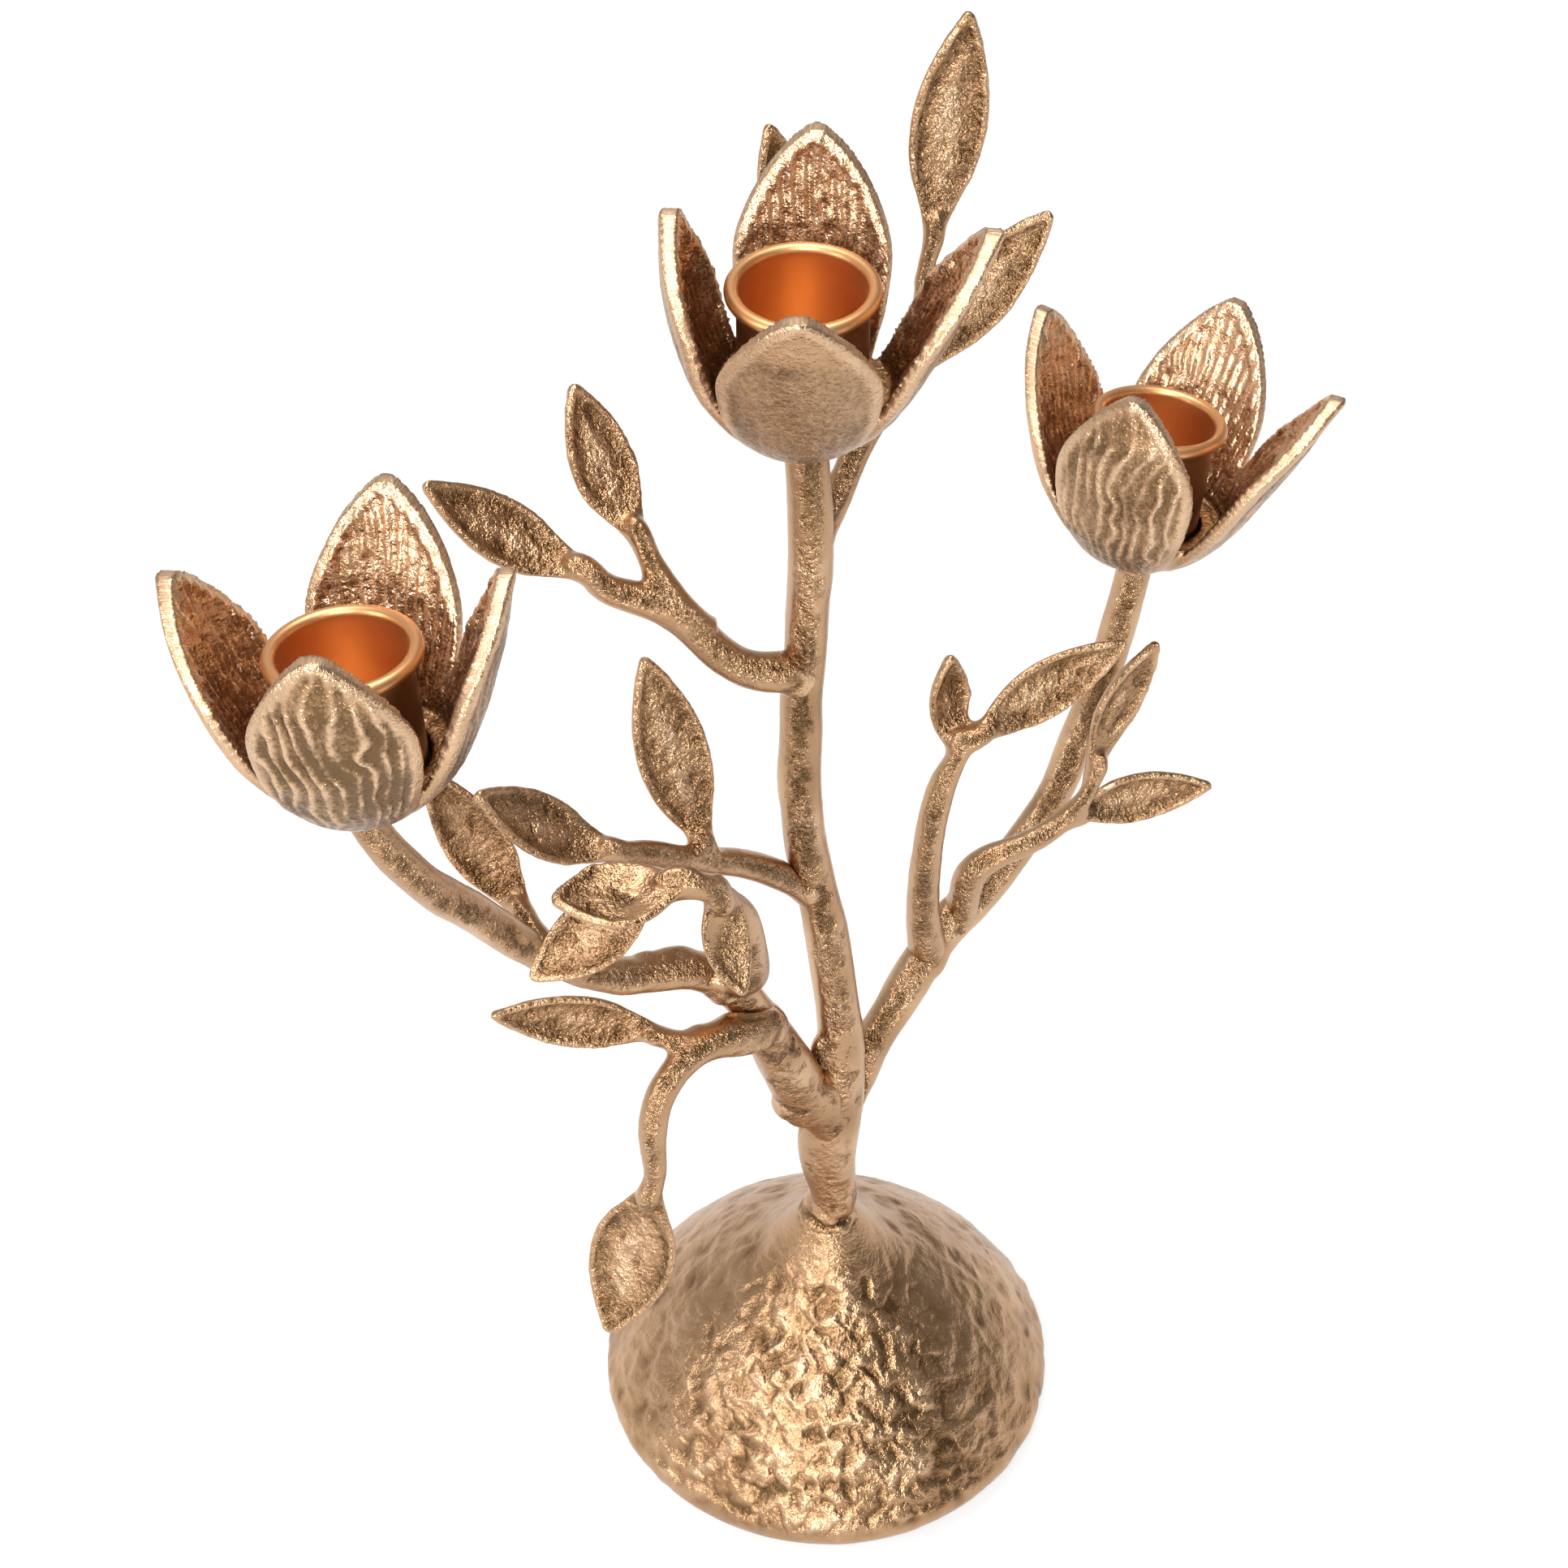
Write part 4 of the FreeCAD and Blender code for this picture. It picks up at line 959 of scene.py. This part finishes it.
def make_cup(side):
    """Spun metal with a rolled rim, in its flower."""
    seat, axis, _ = FLOWERS[side]
    place = Matrix.Translation(Vector(seat) * MM)
    place = place @ UPRIGHT.rotation_difference(Vector(axis).normalized()).to_matrix().to_4x4()
    place = place @ Matrix.Translation((0, 0, CUP_LIFT * MM))
    rings = cup_rings()
    obj = lathe(side + "_cup_spun", rings, place, CUP_SEGMENTS)
    wide, high = (np.repeat(np.array(values), CUP_SEGMENTS) for values in zip(*rings))
    mesh = obj.data
    keep(mesh, "bead", fade(high, 23.3, 23.9))
    keep(mesh, "outer", fade(wide, 11.3, 11.6) * (1 - fade(high, 22.6, 23.4)))
    keep(mesh, "turned", np.stack([wide * 3, high * 3, np.zeros(len(high))], axis=1))
    coat(mesh, cup_metal)
    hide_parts(side + "_cup")
    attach(obj, "root")


def make_pad():
    """Felt: a die-cut disc with a soft, slightly uneven edge."""
    lower = [(0.4, 0.0), (20.0, 0.0), (40.0, 0.0), (PAD_RADIUS - 0.5, 0.0), (PAD_RADIUS - 0.1, 0.3)]
    edge = [(PAD_RADIUS, 0.8), (PAD_RADIUS, 1.3)]
    upper = [(PAD_RADIUS - 0.1, 1.7), (PAD_RADIUS - 0.5, 1.98)]
    upper += [(radius, PAD_THICKNESS) for radius in (40.0, 20.0, 0.4)]
    obj = lathe("felt_pad_cut", lower + edge + upper, Matrix.Identity(4), PAD_SEGMENTS)
    mesh = obj.data
    p = places_of(mesh)
    away = np.hypot(p[:, 0], p[:, 1])
    push = noise(p, 1.1, 71) * 0.10 + noise(p, 5.0, 72) * 0.12 - 0.12
    push = push * fade(away, 46, 47.8)
    p[:, 0] += p[:, 0] / away * push
    p[:, 1] += p[:, 1] / away * push
    put_places(mesh, p)
    coat(mesh, felt)
    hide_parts("felt_pad")
    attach(obj, "root")


for side in FLOWERS:
    make_cup(side)
make_pad()

for node in ("base_screw", "base_washer", "cup_screws", "cup_washers"):
    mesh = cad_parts[node].data
    mesh.materials.clear()
    mesh.materials.append(steel)


# Floor, light and camera

# Half the floor's width and how far it lies below the part, in metres, its grey, and how much it glows
FLOOR_HALF = 6.0
FLOOR_DROP = 0.0002
FLOOR_GREY = 0.30
FLOOR_GLOW = 0.70

# The room's strength, and its brightness by how high one looks
SKY_STRENGTH = 0.66
SKY = [(0.0, WHITE), (0.3, (0.88, 0.88, 0.88)), (0.9, (0.85, 0.85, 0.85))]

# Parts of the room that are darker or brighter: a way, and the brightness by how nearly one looks that way
ROOM = (
    ((0.8, -0.6, 0.0), [(0.0, WHITE), (0.7, (0.42, 0.41, 0.40))]),
    ((-0.60, -0.79, 0.1), [(0.75, WHITE), (0.95, (2.1, 2.07, 2.03))]),
    (tuple(FRONT), [(0.89, WHITE), (0.955, (0.08, 0.07, 0.06))]),
)

# Place, what it looks at, size and power of each lamp
LAMPS = {
    "top_softbox": ((0.1, 0.2, 1.4), (0, 0, 0.15), 0.7, 10),
    "front_softbox": ((-0.60, -0.60, 1.20), (0, 0, 0.15), 0.3, 10),
    "low_softbox": ((-0.85, -0.95, 0.60), (0, 0, 0.22), 0.26, 7),
    "left_softbox": ((-1.1, 0.1, 0.7), (0, 0, 0.15), 0.4, 4),
}

# The camera, as it was fitted on the rims and the foot in the photo
CAMERA_PLACE = (-0.2882, -0.3659, 0.6350)
CAMERA_RIGHT = Vector((0.7986, -0.6018, 0.0))
CAMERA_UP = Vector((0.4143, 0.5498, 0.7254))
LENS = 74.53
SENSOR = 36.0


def make_floor():
    """A pale floor that glows where the camera or a reflection sees it, but lights nothing."""
    mesh = bpy.data.meshes.new("floor")
    half = FLOOR_HALF
    mesh.from_pydata([(-half, -half, 0), (half, -half, 0), (half, half, 0), (-half, half, 0)], [], [(0, 1, 2, 3)])
    obj = bpy.data.objects.new("floor", mesh)
    bpy.context.scene.collection.objects.link(obj)
    obj.location.z = -FLOOR_DROP
    material, tree, shader = nodes_of("pale_floor", metallic=0.0)
    feed(tree, shader.inputs["Base Color"], (FLOOR_GREY,) * 3)
    shader.inputs["Roughness"].default_value = 0.9
    path = add(tree, "ShaderNodeLightPath").outputs
    seen = calc(tree, "MAXIMUM", path["Is Camera Ray"], path["Is Glossy Ray"])
    seen = calc(tree, "MAXIMUM", seen, path["Is Transmission Ray"])
    feed(tree, shader.inputs["Emission Color"], WHITE)
    feed(tree, shader.inputs["Emission Strength"], calc(tree, "MULTIPLY", seen, FLOOR_GLOW))
    mesh.materials.append(material)


def make_world():
    """A plain bright room: darker to the right, brighter low down behind the camera, dark round the camera."""
    world = bpy.data.worlds.new("studio")
    bpy.context.scene.world = world
    world.use_nodes = True
    tree = world.node_tree
    where = coordinates(tree, "Generated")
    high = add(tree, "ShaderNodeSeparateXYZ")
    tree.links.new(where, high.inputs[0])
    room = ramp(tree, high.outputs["Z"], SKY)
    for way, stops in ROOM:
        dot = add(tree, "ShaderNodeVectorMath", operation="DOT_PRODUCT")
        tree.links.new(where, dot.inputs[0])
        dot.inputs[1].default_value = way
        room = mix(tree, 1.0, room, ramp(tree, dot.outputs["Value"], stops), "MULTIPLY")
    background = tree.nodes["Background"]
    feed(tree, background.inputs["Color"], room)
    background.inputs["Strength"].default_value = SKY_STRENGTH


def area_light(name, place, aim, size, power):
    """A round lamp that looks at a place."""
    light = bpy.data.lights.new(name, "AREA")
    light.shape = "DISK"
    light.size = size
    light.energy = power
    obj = bpy.data.objects.new(name, light)
    bpy.context.scene.collection.objects.link(obj)
    obj.location = place
    obj.rotation_mode = "QUATERNION"
    obj.rotation_quaternion = (Vector(aim) - Vector(place)).to_track_quat("-Z", "Y")


def make_camera():
    data = bpy.data.cameras.new("camera")
    data.lens = LENS
    data.sensor_width = SENSOR
    data.clip_start = 0.01
    data.clip_end = 50.0
    camera = bpy.data.objects.new("camera", data)
    bpy.context.scene.collection.objects.link(camera)
    turn = Matrix((CAMERA_RIGHT, CAMERA_UP, CAMERA_RIGHT.cross(CAMERA_UP))).transposed()
    camera.matrix_world = Matrix.Translation(CAMERA_PLACE) @ turn.to_4x4()
    bpy.context.scene.camera = camera


make_floor()
make_world()
for name, lamp in LAMPS.items():
    area_light(name, *lamp)
make_camera()

bpy.context.scene.view_settings.view_transform = "Standard"
